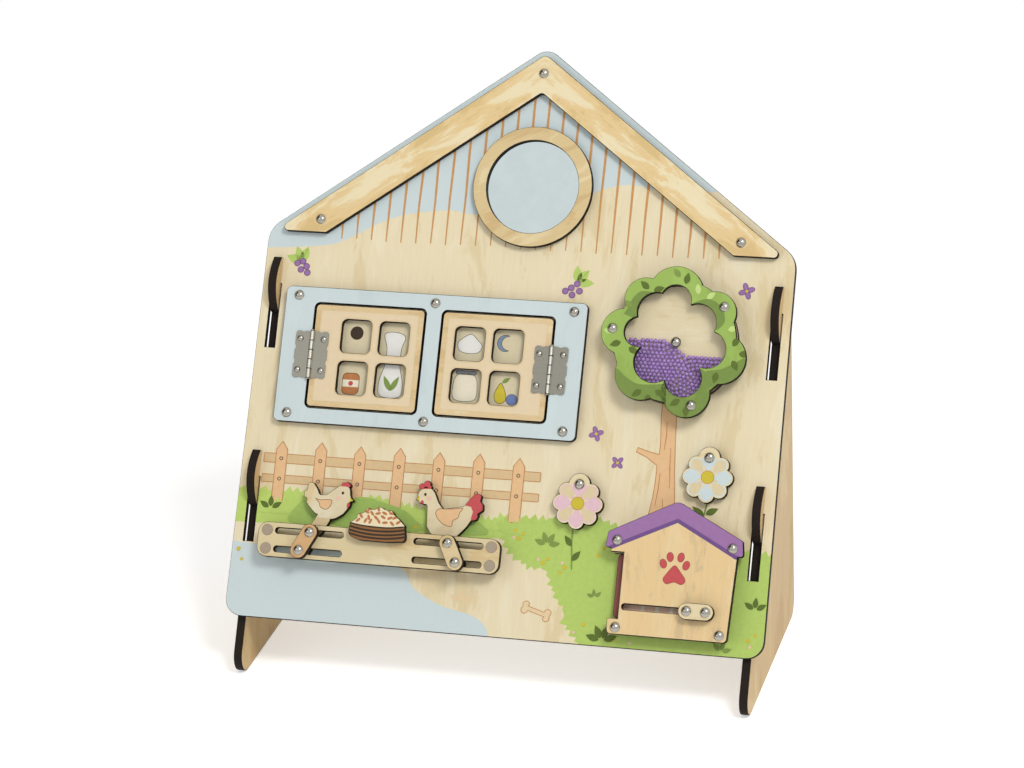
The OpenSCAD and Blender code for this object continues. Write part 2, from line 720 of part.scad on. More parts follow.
// Flat round nuts behind the panel, on the pivots of the wheel and the daisies.
module pivot_nuts() {
    nut_t = 2.5;
    color(steel) on_panel() {
        translate([wheel_x, wheel_u, -panel_t - nut_t]) cylinder(d = 10, h = nut_t);
        for (place = daisy_places)
            translate([place[0], place[1], -panel_t - nut_t]) cylinder(d = 10, h = nut_t);
    }
}

// ---- Daisies ---------------------------------------------------------------

module daisy(place) {
    color(ply) sheet(washer_t, layer_t) translate([place[0], place[1] - daisy_pivot]) difference() {
        union() {
            circle(daisy_r - petal_r);
            for (i = [0:petals - 1]) rotate(90 + i * 360 / petals)
                translate([daisy_r - petal_r, 0]) circle(petal_r);
            translate([0, daisy_pivot]) circle(daisy_tab_r);
        }
        translate([0, daisy_pivot]) circle(d = pivot_d + 2 * run_clear);
    }
}

module left_daisy() { daisy(daisy_places[0]); }

module right_daisy() { daisy(daisy_places[1]); }

module daisy_washers() {
    color(steel) for (place = daisy_places) on_panel() translate([place[0], place[1], 0]) difference() {
        cylinder(d = 8, h = washer_t);
        translate([0, 0, -sheet_cut]) cylinder(d = pivot_d + 0.2, h = washer_t + 2 * sheet_cut);
    }
}

module daisy_bolts() {
    head_at = washer_t + layer_t + 0.3;
    color(steel) for (place = daisy_places) dome_screw(place, head_at, head_at + panel_t, pivot_d);
}

// ---- Hen slider ------------------------------------------------------------

function slider_fastener_places() =
    [for (side = [-1, 1], v = [-1, 1])
        [slider_x + side * (slider_w / 2 - slider_end), slider_mid_u + v * slot_rows / 2]];

module slider_plate() {
    color(ply) sheet(slider_base_h, layer_t) difference() {
        translate([slider_x - slider_w / 2, slider_u]) rounded_rect(slider_w, slider_h, slider_r);
        for (side = [-1, 1], v = [-1, 1]) {
            mid = [slider_x + side * track_x, slider_mid_u + v * slot_rows / 2];
            half = [track_len / 2 - track_w / 2, 0];
            bar(mid - half, mid + half, track_w);
        }
        for (place = slider_fastener_places()) hole(place, shank_d);
    }
}

module slider_spacers() {
    color(ply) for (place = slider_fastener_places())
        on_panel() translate([place[0], place[1], 0]) difference() {
            cylinder(d = spacer_d, h = slider_base_h);
            translate([0, 0, -sheet_cut]) cylinder(d = shank_d, h = slider_base_h + 2 * sheet_cut);
        }
}

module slider_fasteners() {
    color("#A8A39A") for (place = slider_fastener_places())
        on_panel() translate([place[0], place[1], slider_top_h]) {
            cylinder(d1 = slider_head_d, d2 = slider_head_d - 0.6, h = slip_gap - 0.2);
            translate([0, 0, -slider_top_h - screw_bite]) cylinder(d = shank_d, h = slider_top_h + screw_bite + eps);
        }
}

// The bowl stands on the slider plate; its heap of grain rises above the plate.
module feed_bowl() {
    half = bowl_w / 2;
    rim = bowl_h * 0.49;
    base = slider_u + slider_h - bowl_drop;
    color("#8A5A3C") sheet(slider_top_h, layer_t) translate([slider_x, base])
        union() {
            polygon(rounded([[-half * 0.985, 2.4, 4.5], [-half * 0.6, -0.5, 14], [half * 0.35, -0.7, 40],
                [half * 0.97, 0.6, 2.6], [half * 0.9, rim, 1], [half * 0.7, bowl_h * 0.66, 4],
                [half * 0.44, bowl_h * 0.83, 3], [half * 0.19, bowl_h * 0.92, 2],
                [-half * 0.33, bowl_h * 0.885, 2], [-half * 0.56, bowl_h * 0.76, 1],
                [-half * 0.84, bowl_h * 0.535, 2], [-half * 0.95, rim * 0.97, 1]]));
            for (bump = [[-0.61, 0.654, 0.107], [-0.34, 0.798, 0.123], [0.02, 0.807, 0.165], [0.35, 0.749, 0.148]])
                translate([half * bump[0], bowl_h * bump[1]]) circle(bowl_h * bump[2]);
        }
}

// The two bolts of a link, from the upper one; lean_x is the way that the upper one lies.
function link_pins(upper, lean_x) = [upper, upper - [lean_x * link_run, slot_rows]];

// Hen outlines and combs, from the upper bolt: the left hen looks right, the right one left.
left_hen_outline = [[-1.2, 14.7, 2], [9.1, 10.9, 4], [14, 11.6, 8], [19.6, 15.2, 8], [23.4, 20.4, 3],
    [24.2, 22.2, 0.8], [23.6, 24.1, 0.4], [26.6, 25.2, 0.4], [24.4, 27.3, 1], [23.6, 29, 3], [23.2, 32.5, 5],
    [21.8, 35.2, 3], [15.8, 35.9, 5], [10.4, 31.8, 10], [6, 28.2, 4], [1, 27.9, 2], [-0.3, 31.2, 8],
    [-4.2, 36.4, 2.2], [-7.9, 36.2, 1.8], [-8.2, 31, 1.2], [-10.4, 29.2, 1], [-10.2, 26, 1.4],
    [-7.6, 24.4, 0.8], [-8.3, 22.2, 1], [-6.2, 19.4, 6]];
right_hen_outline = [[0, 3.5, 6], [3.3, 6, 6], [9.2, 12.6, 8], [12.2, 17.5, 1], [16, 18.4, 1.5], [17, 21.4, 1],
    [16.3, 22.6, 0.6], [20.2, 25.4, 1.8], [19.6, 29.4, 1.5], [17.6, 31.8, 1], [18.4, 36.2, 1.8],
    [13.6, 37.2, 3], [9, 31.6, 10], [6.2, 27.4, 3], [-3.7, 25.3, 8], [-8.6, 24.3, 3], [-12.4, 29, 10],
    [-15.2, 35, 6], [-18.2, 38.4, 4], [-25.4, 38, 4], [-27.9, 33.8, 4], [-27.6, 31.3, 0.8],
    [-29.2, 29.6, 0.4], [-26.8, 28.6, 0.4], [-25.8, 27.1, 0.8], [-23.2, 26.6, 0.8], [-20.4, 26.8, 1.5],
    [-19.8, 20, 10], [-19.2, 11, 6], [-14.5, 5, 5], [-8, 2.5, 6]];
left_comb = [[17.8, 36.2, 1.6], [20.3, 36.6, 1.8], [21.4, 35.8, 1.7]];
right_comb = [[-25.3, 39, 2.2], [-21.7, 40.9, 2.5], [-19.8, 38.9, 1.6]];

module hen(outline, comb, upper, lean_x) {
    pins = link_pins(upper, lean_x);
    k = hen_reach / 26.6;
    color(ply) sheet(hen_h, layer_t) difference() {
        union() {
            translate(upper) polygon(rounded(k * outline));
            for (c = k * comb) translate([upper[0] + c[0], upper[1] + c[1]]) circle(c[2]);
            bar(pins[1], upper + k * [lean_x * 5.5, 10.8], leg_w);
            bar(upper + k * [lean_x * 1.5, 4], upper + k * [lean_x * 5.6, 11.6], leg_w + 2);
        }
        for (place = pins) hole(place, pivot_d);
    }
}

module left_hen() { hen(left_hen_outline, left_comb, left_pin, 1); }

module right_hen() { hen(right_hen_outline, right_comb, right_pin, -1); }

module link(upper, lean_x) {
    pins = link_pins(upper, lean_x);
    color(warm_ply) sheet(link_h, layer_t) difference() {
        bar(pins[0], pins[1], link_w);
        for (place = pins) hole(place, pivot_d);
    }
}

module left_link() { link(left_pin, 1); }

module right_link() { link(right_pin, -1); }

module link_bolts(upper, lean_x) {
    head_at = link_h + layer_t;
    color(steel) for (place = link_pins(upper, lean_x))
        dome_screw(place, head_at, head_at - hen_h - 0.6, pivot_d);
}

module left_link_bolts() { link_bolts(left_pin, 1); }

module right_link_bolts() { link_bolts(right_pin, -1); }

// ---- Kennel ----------------------------------------------------------------

function kennel_screw_places() =
    let (low_x = kennel_low_w / 2 - 5.4, high_x = kennel_high_w / 2 - 3.8)
    [[kennel_x - low_x + 0.4, kennel_u + 4.7], [kennel_x + low_x, kennel_u + 4.7],
     [kennel_x - high_x, kennel_u + wall_h + 5.6], [kennel_x + high_x, kennel_u + wall_h + 5.6]];

// Slope of the roof, from the top of an eave to the ridge
eave_top = wall_h + eave_h;
function roof_half(u) = roof_w / 2 * (ridge_h - u) / (ridge_h - eave_top);

module kennel_front() {
    low = kennel_low_w / 2;
    high = kennel_high_w / 2;
    wall_x = kennel_x - low;
    color(warm_ply) sheet(kennel_base_h, layer_t) difference() {
        translate([kennel_x, kennel_u]) polygon(rounded([[-low, 0, 3], [low, 0, 3], [high, wall_h, 0.6],
            [roof_w / 2 + 0.6, wall_h + 0.4, 1.5], [roof_w / 2 - 0.6, eave_top, 2], [0, ridge_h, 7],
            [-roof_w / 2 + 0.6, eave_top, 2], [-roof_w / 2 - 0.6, wall_h + 0.4, 1.5], [-high, wall_h, 0.6]]));
        // Notch at the left, where the tile's edge shows
        translate([wall_x - 10, tile_u - 0.8]) square([notch_x - wall_x + 10, tile_h + 1.6]);
        bar([kennel_slot_x + track_w / 2, kennel_pin_u],
            [kennel_slot_x + kennel_slot_len - track_w / 2, kennel_pin_u], track_w);
        for (place = kennel_screw_places()) hole(place, shank_d);
    }
}

// A C-shaped spacer behind the front, open to the left, that guides the tile.
module kennel_spacer() {
    low = kennel_low_w / 2 - 1;
    high = kennel_high_w / 2 - 1;
    color(ply) sheet(0, kennel_base_h) difference() {
        translate([kennel_x, kennel_u]) polygon(rounded([[-low, 1, 2], [low, 1, 2],
            [high, wall_h, 1], [high, wall_h + 9, 3], [-high, wall_h + 9, 3], [-high, wall_h, 1]]));
        translate([tile_x - 12, tile_u - tile_gap])
            square([tile_w + 12 + tile_gap, tile_h + 2 * tile_gap]);
        for (place = kennel_screw_places()) hole(place, shank_d);
    }
}

module kennel_screws() {
    color(steel) for (place = kennel_screw_places())
        dome_screw(place, kennel_top_h, kennel_top_h + screw_bite);
}

module kennel_tile() {
    color("#8B4A49") sheet(tile_base_h, layer_t) difference() {
        translate([tile_x, tile_u]) rounded_rect(tile_w, tile_h, 3);
        for (place = handle_pins) hole(place, pivot_d);
    }
}

module tile_handle() {
    color(ply) sheet(handle_h, layer_t) difference() {
        bar(handle_pins[0], handle_pins[1], handle_w);
        for (place = handle_pins) hole(place, pivot_d);
    }
}

module handle_bolts() {
    head_at = handle_h + layer_t;
    color(steel) for (place = handle_pins)
        dome_screw(place, head_at, head_at - tile_base_h - 0.6, pivot_d);
}

front_panel();
left_side_plate();
right_side_plate();
roof_trim();
roof_trim_screws();
mirror_ring();
mirror_disc();
window_frame();
window_frame_screws();
left_frame_leaf();
right_frame_leaf();
left_hinge_pin();
right_hinge_pin();
left_frame_leaf_screws();
right_frame_leaf_screws();
left_door();
left_door_leaf();
left_door_leaf_screws();
right_door();
right_door_leaf();
right_door_leaf_screws();
wheel_back();
wheel_chamber();
wheel_window();
wheel_ring();
wheel_screws();
beads();
wheel_washer();
wheel_sleeve();
wheel_bolt();
pivot_nuts();
left_daisy();
right_daisy();
daisy_washers();
daisy_bolts();
slider_plate();
slider_spacers();
slider_fasteners();
feed_bowl();
left_hen();
left_link();
left_link_bolts();
right_hen();
right_link();
right_link_bolts();
kennel_front();
kennel_spacer();
kennel_screws();
kennel_tile();
tile_handle();
handle_bolts();
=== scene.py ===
# %% [markdown]
# # A wooden busy board
# The board is laser-cut plywood: a house-shaped panel that leans on two side
# plates and carries play pieces. The construction model holds the true solids,
# so this lesson starts from it, eases its cut edges, dresses its plywood, and
# adds what a construction model leaves out: printed colours, turned heads and
# loose beads.

# %% Load the fixed frame
import json
import math
import random

import bmesh
import bpy
from mathutils import Matrix, Vector

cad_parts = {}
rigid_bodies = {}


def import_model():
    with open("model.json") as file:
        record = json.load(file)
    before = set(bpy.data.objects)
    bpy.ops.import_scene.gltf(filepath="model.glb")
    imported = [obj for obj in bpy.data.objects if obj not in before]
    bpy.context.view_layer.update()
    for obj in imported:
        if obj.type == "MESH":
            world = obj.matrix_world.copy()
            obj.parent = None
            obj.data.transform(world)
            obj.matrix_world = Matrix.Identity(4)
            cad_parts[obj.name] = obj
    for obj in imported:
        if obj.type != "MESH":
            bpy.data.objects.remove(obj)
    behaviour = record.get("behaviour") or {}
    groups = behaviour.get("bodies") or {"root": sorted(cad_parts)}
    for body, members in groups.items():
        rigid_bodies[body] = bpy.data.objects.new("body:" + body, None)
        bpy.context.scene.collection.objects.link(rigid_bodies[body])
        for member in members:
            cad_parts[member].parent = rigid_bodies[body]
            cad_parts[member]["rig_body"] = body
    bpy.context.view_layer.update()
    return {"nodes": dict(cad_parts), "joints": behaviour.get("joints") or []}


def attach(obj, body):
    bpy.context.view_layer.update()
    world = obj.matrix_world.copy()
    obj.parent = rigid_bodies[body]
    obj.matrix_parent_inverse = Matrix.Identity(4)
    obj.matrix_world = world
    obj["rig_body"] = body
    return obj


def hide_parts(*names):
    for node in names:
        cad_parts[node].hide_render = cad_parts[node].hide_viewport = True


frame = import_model()
nodes = frame["nodes"]
joints = {joint["name"]: joint for joint in frame["joints"]}
print("CAD nodes:", len(nodes), "joints:", len(joints))

# %% [markdown]
# ## Panel coordinates
# Nearly every piece lies on a leaning face, so it is easiest to draw on that
# face: x across, u up the face from its bottom edge, h out of the face, all in
# millimetres. The bead wheel's axis is square to the face, so its joint gives
# the lean, and its place gives the face's zero point.

# %% Panel coordinates
WHEEL = Vector((113.5, 212.3))
WHEEL_JOINT_H = 4.4
MM = 0.001
out = Vector(joints["wheel_spin"]["axis"]).normalized()
across = Vector((1, 0, 0))
up = out.cross(across)
turn = Matrix((across, up, out)).transposed()
zero = Vector(joints["wheel_spin"]["pos_m"]) - turn @ Vector((WHEEL.x, WHEEL.y, WHEEL_JOINT_H)) * MM
PANEL = Matrix.Translation(zero) @ (turn * MM).to_4x4()
TO_PANEL = PANEL.inverted()
LEAN = math.atan2(out.z, -out.y)
print("lean of the panel:", round(math.degrees(LEAN), 2), "degrees")

# %% [markdown]
# ## Camera
# The board is seen from its right and from above with a long lens, which keeps
# its upright edges nearly parallel. A Track To constraint could aim the camera,
# but it can't hold the small roll, so the camera's matrix is set from its three
# axes.

# %% Camera
AZIMUTH, ELEVATION, ROLL = (math.radians(a) for a in (15.73, 22.96, -2.42))
FOCAL_PX, IMAGE_PX, SENSOR = 3670.17, 1024, 36
CAMERA_DISTANCE = 2.41942
AIM = PANEL @ Vector((32.41, 158.616, 130.018))

view_dir = Vector((-math.sin(AZIMUTH) * math.cos(ELEVATION),
                   math.cos(AZIMUTH) * math.cos(ELEVATION), -math.sin(ELEVATION)))
side = Vector((math.cos(AZIMUTH), math.sin(AZIMUTH), 0))
above = side.cross(view_dir)
cam_x = side * math.cos(ROLL) + above * math.sin(ROLL)
cam_y = -side * math.sin(ROLL) + above * math.cos(ROLL)
eye = AIM - view_dir * CAMERA_DISTANCE

camera_data = bpy.data.cameras.new("camera")
camera_data.sensor_width = SENSOR
camera_data.lens = FOCAL_PX * SENSOR / IMAGE_PX
camera_data.clip_end = 20
camera = bpy.data.objects.new("camera", camera_data)
camera.matrix_world = Matrix.Translation(eye) @ Matrix((cam_x, cam_y, -view_dir)).transposed().to_4x4()
bpy.context.scene.collection.objects.link(camera)
bpy.context.scene.camera = camera
bpy.context.scene.view_settings.view_transform = "Standard"
print("camera at", [round(v, 3) for v in eye])


# %% [markdown]
# ## Two helpers for materials
# Colours are written as sRGB hex values, as a print shop gives them, and turned
# to linear light. One function adds a node with its settings and its links, so
# that a material reads as a short list of what happens to the light.

# %% Material helpers
def linear(hex_colour, alpha=1.0):
    channels = [int(hex_colour[i:i + 2], 16) / 255 for i in (1, 3, 5)]
    return [c / 12.92 if c <= 0.04045 else ((c + 0.055) / 1.055) ** 2.4 for c in channels] + [alpha]


def add(tree, kind, inputs=None, **settings):
    """Adds a node. An input takes a value, or another node's output to link."""
    made = tree.nodes.new(kind)
    for name, value in settings.items():
        setattr(made, name, value)
    for name, value in (inputs or {}).items():
        if isinstance(value, bpy.types.NodeSocket):
            tree.links.new(value, made.inputs[name])
        else:
            made.inputs[name].default_value = value
    return made


def new_material(name):
    material = bpy.data.materials.new(name)
    material.use_nodes = True
    material.node_tree.nodes.clear()
    print("material:", name)
    return material, material.node_tree


def finish_material(tree, shader):
    add(tree, "ShaderNodeOutputMaterial", {"Surface": shader.outputs[0]})


print("mid grey in linear light:", round(linear("#808080")[0], 3))

# %% [markdown]
# ## Floor
# The floor is a matt white emulsion, which shows soft shadows and no gloss. Near
# the board it takes the board's shadow as any floor does. Further out it fades
# into plain white for rays that look at it, which never adds light to the board.
# A studio's curved backdrop would hide the board from a camera that goes round.

# %% Floor paint
SHADOW_REACH, WHITE_FROM = 0.34, 0.85  # metres from the board's middle
FLOOR_LIFT = 0.42
floor_paint, tree = new_material("floor_paint")
rays = add(tree, "ShaderNodeLightPath")
seen = add(tree, "ShaderNodeMath", {0: rays.outputs["Is Camera Ray"], 1: rays.outputs["Is Glossy Ray"]},
           operation="MAXIMUM")
looked_at = add(tree, "ShaderNodeMath", {0: seen.outputs[0], 1: rays.outputs["Is Transmission Ray"]},
                operation="MAXIMUM")
place = add(tree, "ShaderNodeTexCoord")
from_board = add(tree, "ShaderNodeVectorMath", {0: place.outputs["Object"]}, operation="LENGTH")
fade = add(tree, "ShaderNodeMapRange", {"Value": from_board.outputs["Value"], "From Min": SHADOW_REACH,
                                        "From Max": WHITE_FROM}, interpolation_type="SMOOTHSTEP")
white_part = add(tree, "ShaderNodeMath", {0: fade.outputs[0], 1: looked_at.outputs[0]}, operation="MULTIPLY")
paint = add(tree, "ShaderNodeBsdfPrincipled", {"Base Color": linear("#F6F6F5"), "Roughness": 0.9})
lift = add(tree, "ShaderNodeMath", {0: looked_at.outputs[0], 1: FLOOR_LIFT}, operation="MULTIPLY")
glow = add(tree, "ShaderNodeEmission", {"Color": (1, 1, 1, 1), "Strength": lift.outputs[0]})
lifted = add(tree, "ShaderNodeAddShader", {0: paint.outputs[0], 1: glow.outputs[0]})
white = add(tree, "ShaderNodeEmission", {"Color": (1, 1, 1, 1), "Strength": 1.0})
near_or_far = add(tree, "ShaderNodeMixShader", {0: white_part.outputs[0], 1: lifted.outputs[0], 2: white.outputs[0]})
finish_material(tree, near_or_far)

# %% Floor
FLOOR_HALF = 8
floor_mesh = bmesh.new()
bmesh.ops.create_grid(floor_mesh, x_segments=1, y_segments=1, size=FLOOR_HALF)
floor_data = bpy.data.meshes.new("floor")
floor_mesh.to_mesh(floor_data)
floor_mesh.free()
floor = bpy.data.objects.new("floor", floor_data)
bpy.context.scene.collection.objects.link(floor)
floor_data.materials.append(floor_paint)
print("floor:", 2 * FLOOR_HALF, "m square")

# %% [markdown]
# ## Light
# A large soft lamp from the upper right gives short soft shadows to the lower
# left of each raised piece, and a weak wide lamp fills them a little. An even
# world light does the rest. They are kept at a level at which a colour renders
# about as it is written. A picture of a room could light the board too, but the
# lesson reads no file apart from the frame.

# %% World light
AMBIENT = 0.5
FLAG_DARK, FLAG_CLEAR, FLAG_LEVEL = -0.7, -0.32, 0.06
world = bpy.data.worlds.new("studio")
bpy.context.scene.world = world
world.use_nodes = True
tree = world.node_tree
tree.nodes.clear()
rays = add(tree, "ShaderNodeLightPath")
straight = add(tree, "ShaderNodeMath", {0: rays.outputs["Is Camera Ray"], 1: rays.outputs["Is Transmission Ray"]},
               operation="MAXIMUM")
plain = add(tree, "ShaderNodeMapRange", {"Value": straight.outputs[0], "To Min": AMBIENT, "To Max": 1.0})
way = add(tree, "ShaderNodeTexCoord")
parts = add(tree, "ShaderNodeSeparateXYZ", {0: way.outputs["Generated"]})
# A studio has a dark flag at one side, which gives polished heads their dark flank.
flag = add(tree, "ShaderNodeMapRange", {"Value": parts.outputs["X"], "From Min": FLAG_DARK, "From Max": FLAG_CLEAR,
                                        "To Min": FLAG_LEVEL, "To Max": 1.0}, interpolation_type="SMOOTHSTEP")
level = add(tree, "ShaderNodeMix", {0: rays.outputs["Is Glossy Ray"], 2: plain.outputs[0], 3: flag.outputs[0]})
sky = add(tree, "ShaderNodeBackground", {"Color": (1, 1, 1, 1), "Strength": level.outputs[0]})
add(tree, "ShaderNodeOutputWorld", {"Surface": sky.outputs[0]})
print("world light:", AMBIENT)


# %% Lamps
def area_lamp(name, place, aim, size, watts):
    data = bpy.data.lights.new(name, "AREA")
    data.shape = "DISK"
    data.size = size
    data.energy = watts
    lamp = bpy.data.objects.new(name, data)
    lamp.location = place
    lamp.rotation_mode = "QUATERNION"
    lamp.rotation_quaternion = (Vector(aim) - Vector(place)).to_track_quat("-Z", "Y")
    bpy.context.scene.collection.objects.link(lamp)
    print(name, watts, "W,", size, "m across")


area_lamp("key_lamp", (1.25, -1.15, 2.35), (0, 0, 0.2), 0.9, 35.8)
area_lamp("fill_lamp", (-1.6, -1.6, 1.2), (0, 0, 0.2), 1.6, 8)

# %% [markdown]
# ## Laser-cut plywood
# The board is 5 mm birch plywood. Its sanded face is creamy, with soft patches
# about 30 mm long in a warmer and a paler tone, and fine grain lines. A laser
# burns every cut edge dark brown, with the plies just showing. One material
# does both: it compares the surface's own normal with the sheet's normal, so
# that faces get the veneer and cut edges get the burn. Separate materials for
# face and edge would need every face sorted by hand.

# %% Coordinates on a sheet
FACE_COSINE = 0.95


def sheet_coordinates(tree, sheet):
    """Millimetres on the sheet, with Z square to it, and where its face shows."""
    place = add(tree, "ShaderNodeTexCoord")
    if sheet == "panel":
        angles, normal = (LEAN - math.pi / 2, 0, 0), out
        shift = -(turn.transposed() @ zero) / MM
    else:
        angles, normal, shift = (0, math.pi / 2, 0), across, Vector((0, 0, 0))
    turned = add(tree, "ShaderNodeMapping", {"Vector": place.outputs["Object"], "Rotation": angles,
                                             "Scale": (1000, 1000, 1000), "Location": shift})
    facing = add(tree, "ShaderNodeVectorMath", {0: place.outputs["Normal"], 1: normal}, operation="DOT_PRODUCT")
    size = add(tree, "ShaderNodeMath", {0: facing.outputs["Value"]}, operation="ABSOLUTE")
    on_face = add(tree, "ShaderNodeMath", {0: size.outputs[0], 1: FACE_COSINE}, operation="GREATER_THAN")
    return turned.outputs[0], on_face.outputs[0]


def along_grain(tree, turned, angle, two_sided):
    """Turns the sheet so that the grain runs along Y; a two-sided print mirrors about x = 0."""
    if two_sided:
        parts = add(tree, "ShaderNodeSeparateXYZ", {0: turned})
        half = add(tree, "ShaderNodeMath", {0: parts.outputs["X"]}, operation="ABSOLUTE")
        turned = add(tree, "ShaderNodeCombineXYZ", {"X": half.outputs[0], "Y": parts.outputs["Y"],
                                                    "Z": parts.outputs["Z"]}).outputs[0]
    return add(tree, "ShaderNodeMapping", {"Vector": turned, "Rotation": (0, 0, math.radians(angle))}).outputs[0]


print("a face leans at most", round(math.degrees(math.acos(FACE_COSINE)), 1), "degrees from its sheet")

# %% Veneer and burnt edge
FIGURE_MM = 28.0
FIGURE_STRETCH, GRAIN_STRETCH = 0.28, 0.05  # figure and grain are long along the tree
GRAIN_MM = 1.6  # real grain is finer, and wouldn't show
PLY_MM = 1.25
WAVE_PERIOD = 0.314  # a wave texture at scale 1 repeats after this length
WARM_FROM, WARM_FULL = 0.53, 0.6
PALE_SPAN = 0.09


def veneer_colour(tree, along, face, warm, pale, figure_mm, grain_depth, pale_from):
    """The face colour with warm and pale figure, and fine grain lines."""
    wide = add(tree, "ShaderNodeMapping", {"Vector": along, "Scale": (1, FIGURE_STRETCH, 1)})
    figure = add(tree, "ShaderNodeTexNoise", {"Vector": wide.outputs[0], "Scale": 1 / figure_mm, "Detail": 8,
                                              "Roughness": 0.66, "Distortion": 0.5})
    warm_part = add(tree, "ShaderNodeMapRange", {"Value": figure.outputs[0], "From Min": WARM_FROM,
                                                 "From Max": WARM_FULL}, interpolation_type="SMOOTHSTEP")
    pale_part = add(tree, "ShaderNodeMapRange", {"Value": figure.outputs[0], "From Min": pale_from,
                                                 "From Max": pale_from - PALE_SPAN}, interpolation_type="SMOOTHSTEP")
    warmed = add(tree, "ShaderNodeMix", {0: warm_part.outputs[0], 6: linear(face), 7: linear(warm)}, data_type="RGBA")
    toned = add(tree, "ShaderNodeMix", {0: pale_part.outputs[0], 6: warmed.outputs[2], 7: linear(pale)},
                data_type="RGBA")
    stretched = add(tree, "ShaderNodeMapping", {"Vector": along, "Scale": (1, GRAIN_STRETCH, 1)})
    grain = add(tree, "ShaderNodeTexNoise", {"Vector": stretched.outputs[0], "Scale": 1 / GRAIN_MM, "Detail": 3,
                                             "Roughness": 0.6})
    lines = add(tree, "ShaderNodeMapRange", {"Value": grain.outputs[0], "From Min": 0.3, "From Max": 0.7,
                                             "To Min": 1 - grain_depth, "To Max": 1 + grain_depth * 0.4})
    grained = add(tree, "ShaderNodeMix", {0: 1.0, 6: toned.outputs[2], 7: lines.outputs[0]},
                  data_type="RGBA", blend_type="MULTIPLY")
    return grained.outputs[2], grain.outputs[0]


def burnt_colour(tree, turned):
    """Charred plies: dark bands a ply apart, broken by patches of soot about 4 mm long."""
    bands = add(tree, "ShaderNodeTexWave", {"Vector": turned, "Scale": WAVE_PERIOD / PLY_MM, "Distortion": 2.0,
                                            "Detail": 2, "Detail Scale": 0.4}, bands_direction="Z")
    soot = add(tree, "ShaderNodeTexNoise", {"Vector": turned, "Scale": 0.26, "Detail": 5, "Roughness": 0.65})
    mixed = add(tree, "ShaderNodeMath", {0: bands.outputs[1], 1: soot.outputs[0]}, operation="MULTIPLY")
    return add(tree, "ShaderNodeMix", {0: mixed.outputs[0], 6: linear("#0B0502"), 7: linear("#2E1C0D")},
               data_type="RGBA").outputs[2]


print("figure", FIGURE_MM, "mm, grain", GRAIN_MM, "mm, ply", PLY_MM, "mm")


# %% Plywood material
def plywood(name, face, warm, pale, angle=0.0, sheet="panel", figure_mm=FIGURE_MM, grain_depth=0.035,
            two_sided=False, pale_from=0.46):
    """Sanded birch plywood under a thin matt varnish: satin face, dull burnt edge."""
    material, tree = new_material(name)
    turned, on_face = sheet_coordinates(tree, sheet)
    along = along_grain(tree, turned, angle, two_sided)
    veneer, grain = veneer_colour(tree, along, face, warm, pale, figure_mm, grain_depth, pale_from)
    burnt = burnt_colour(tree, turned)
    colour = add(tree, "ShaderNodeMix", {0: on_face, 6: burnt, 7: veneer}, data_type="RGBA")
    gloss = add(tree, "ShaderNodeMapRange", {"Value": on_face, "To Min": 0.8, "To Max": 0.5})
    bump = add(tree, "ShaderNodeBump", {"Height": grain, "Strength": 0.12, "Distance": 0.0002})
    # Open pores scatter the shine, so the specular level is under that of solid varnish.
    wood = add(tree, "ShaderNodeBsdfPrincipled", {"Base Color": colour.outputs[2], "Roughness": gloss.outputs[0],
                                                  "Normal": bump.outputs[0], "IOR": 1.5,
                                                  "Specular IOR Level": 0.3})
    finish_material(tree, wood)
    return material


# Bare birch: pale cream, with its grain across the board.
bare_birch = plywood("bare_birch_ply", "#E2D2A9", "#D9C396", "#E6D9B8", 90)

# %% [markdown]
# ## Plywood in its printed colours
# The same sheet comes in several coats: the printed panel, the blue window
# frame, the green crown, the kennel wall and the stained pieces. Each coat is
# thin enough for the figure to show, apart from the opaque blue. A coat is
# given by its face colour, its warm and pale figure, and the grain's angle.

# %% Plywood in its printed colours
# Varnished panel: creamy, with faint warm streaks up the board.
panel_print = plywood("panel_ply", "#E6D7B3", "#DDCBA1", "#E8DCBC")
# Honey-stained gable band: golden with pale flakes that run down both slopes.
trim_print = plywood("trim_ply", "#E1C590", "#D6B981", "#E9DAB3", -53.6, figure_mm=15, two_sided=True,
                     pale_from=0.505)
# Tea-stained left link: orange-brown.
warm_birch = plywood("warm_birch_ply", "#D0A776", "#C59A68", "#D8B488", 70)
# Oiled ring, shutter rims, hens, link and slider: tones of the same birch, from tan to cream.
ring_birch = plywood("ring_ply", "#D6BE8D", "#CDB17E", "#E0CDA0", 60, figure_mm=15)
door_birch = plywood("door_ply", "#DBC193", "#D2B584", "#E2CDA3", 90, figure_mm=18)
hen_birch = plywood("hen_ply", "#DDCDA8", "#D6C29A", "#E4D8B8", 40)
link_birch = plywood("right_link_ply", "#D9C396", "#D0B684", "#E0CFA6", 70)
slider_birch = plywood("slider_ply", "#D9C79C", "#D3B988", "#E1D3AE", 90)
# Opaque pale blue paint: nearly even, the grain just felt.
blue_print = plywood("blue_frame_ply", "#C9D5D5", "#C5D1D1", "#CBD7D8", grain_depth=0.01)
# Leaf-green print: flat, with a soft mottle.
green_print = plywood("crown_ply", "#98B458", "#91AC52", "#9DBA5E", figure_mm=22, grain_depth=0.02)
# Honey-stained kennel wall: greyer flecks up the grain.
kennel_print = plywood("kennel_ply", "#E4C692", "#D4B98D", "#E6CC9C", figure_mm=16)
# Maroon-stained tile: the grain shows dark.
maroon_print = plywood("maroon_ply", "#894C45", "#7D413B", "#92554C", grain_depth=0.05)
# Brown-stained bowl: rows of darker grain, like turned wood.
bowl_print = plywood("bowl_ply", "#8C5F36", "#76502D", "#986A3D", 90, figure_mm=9)
# Side plates, cut from a sheet that stands square to the panel: tan, with broad clouds.
plate_birch = plywood("side_plate_ply", "#D1B380", "#C6A571", "#DCC291", 90, sheet="side", figure_mm=34)

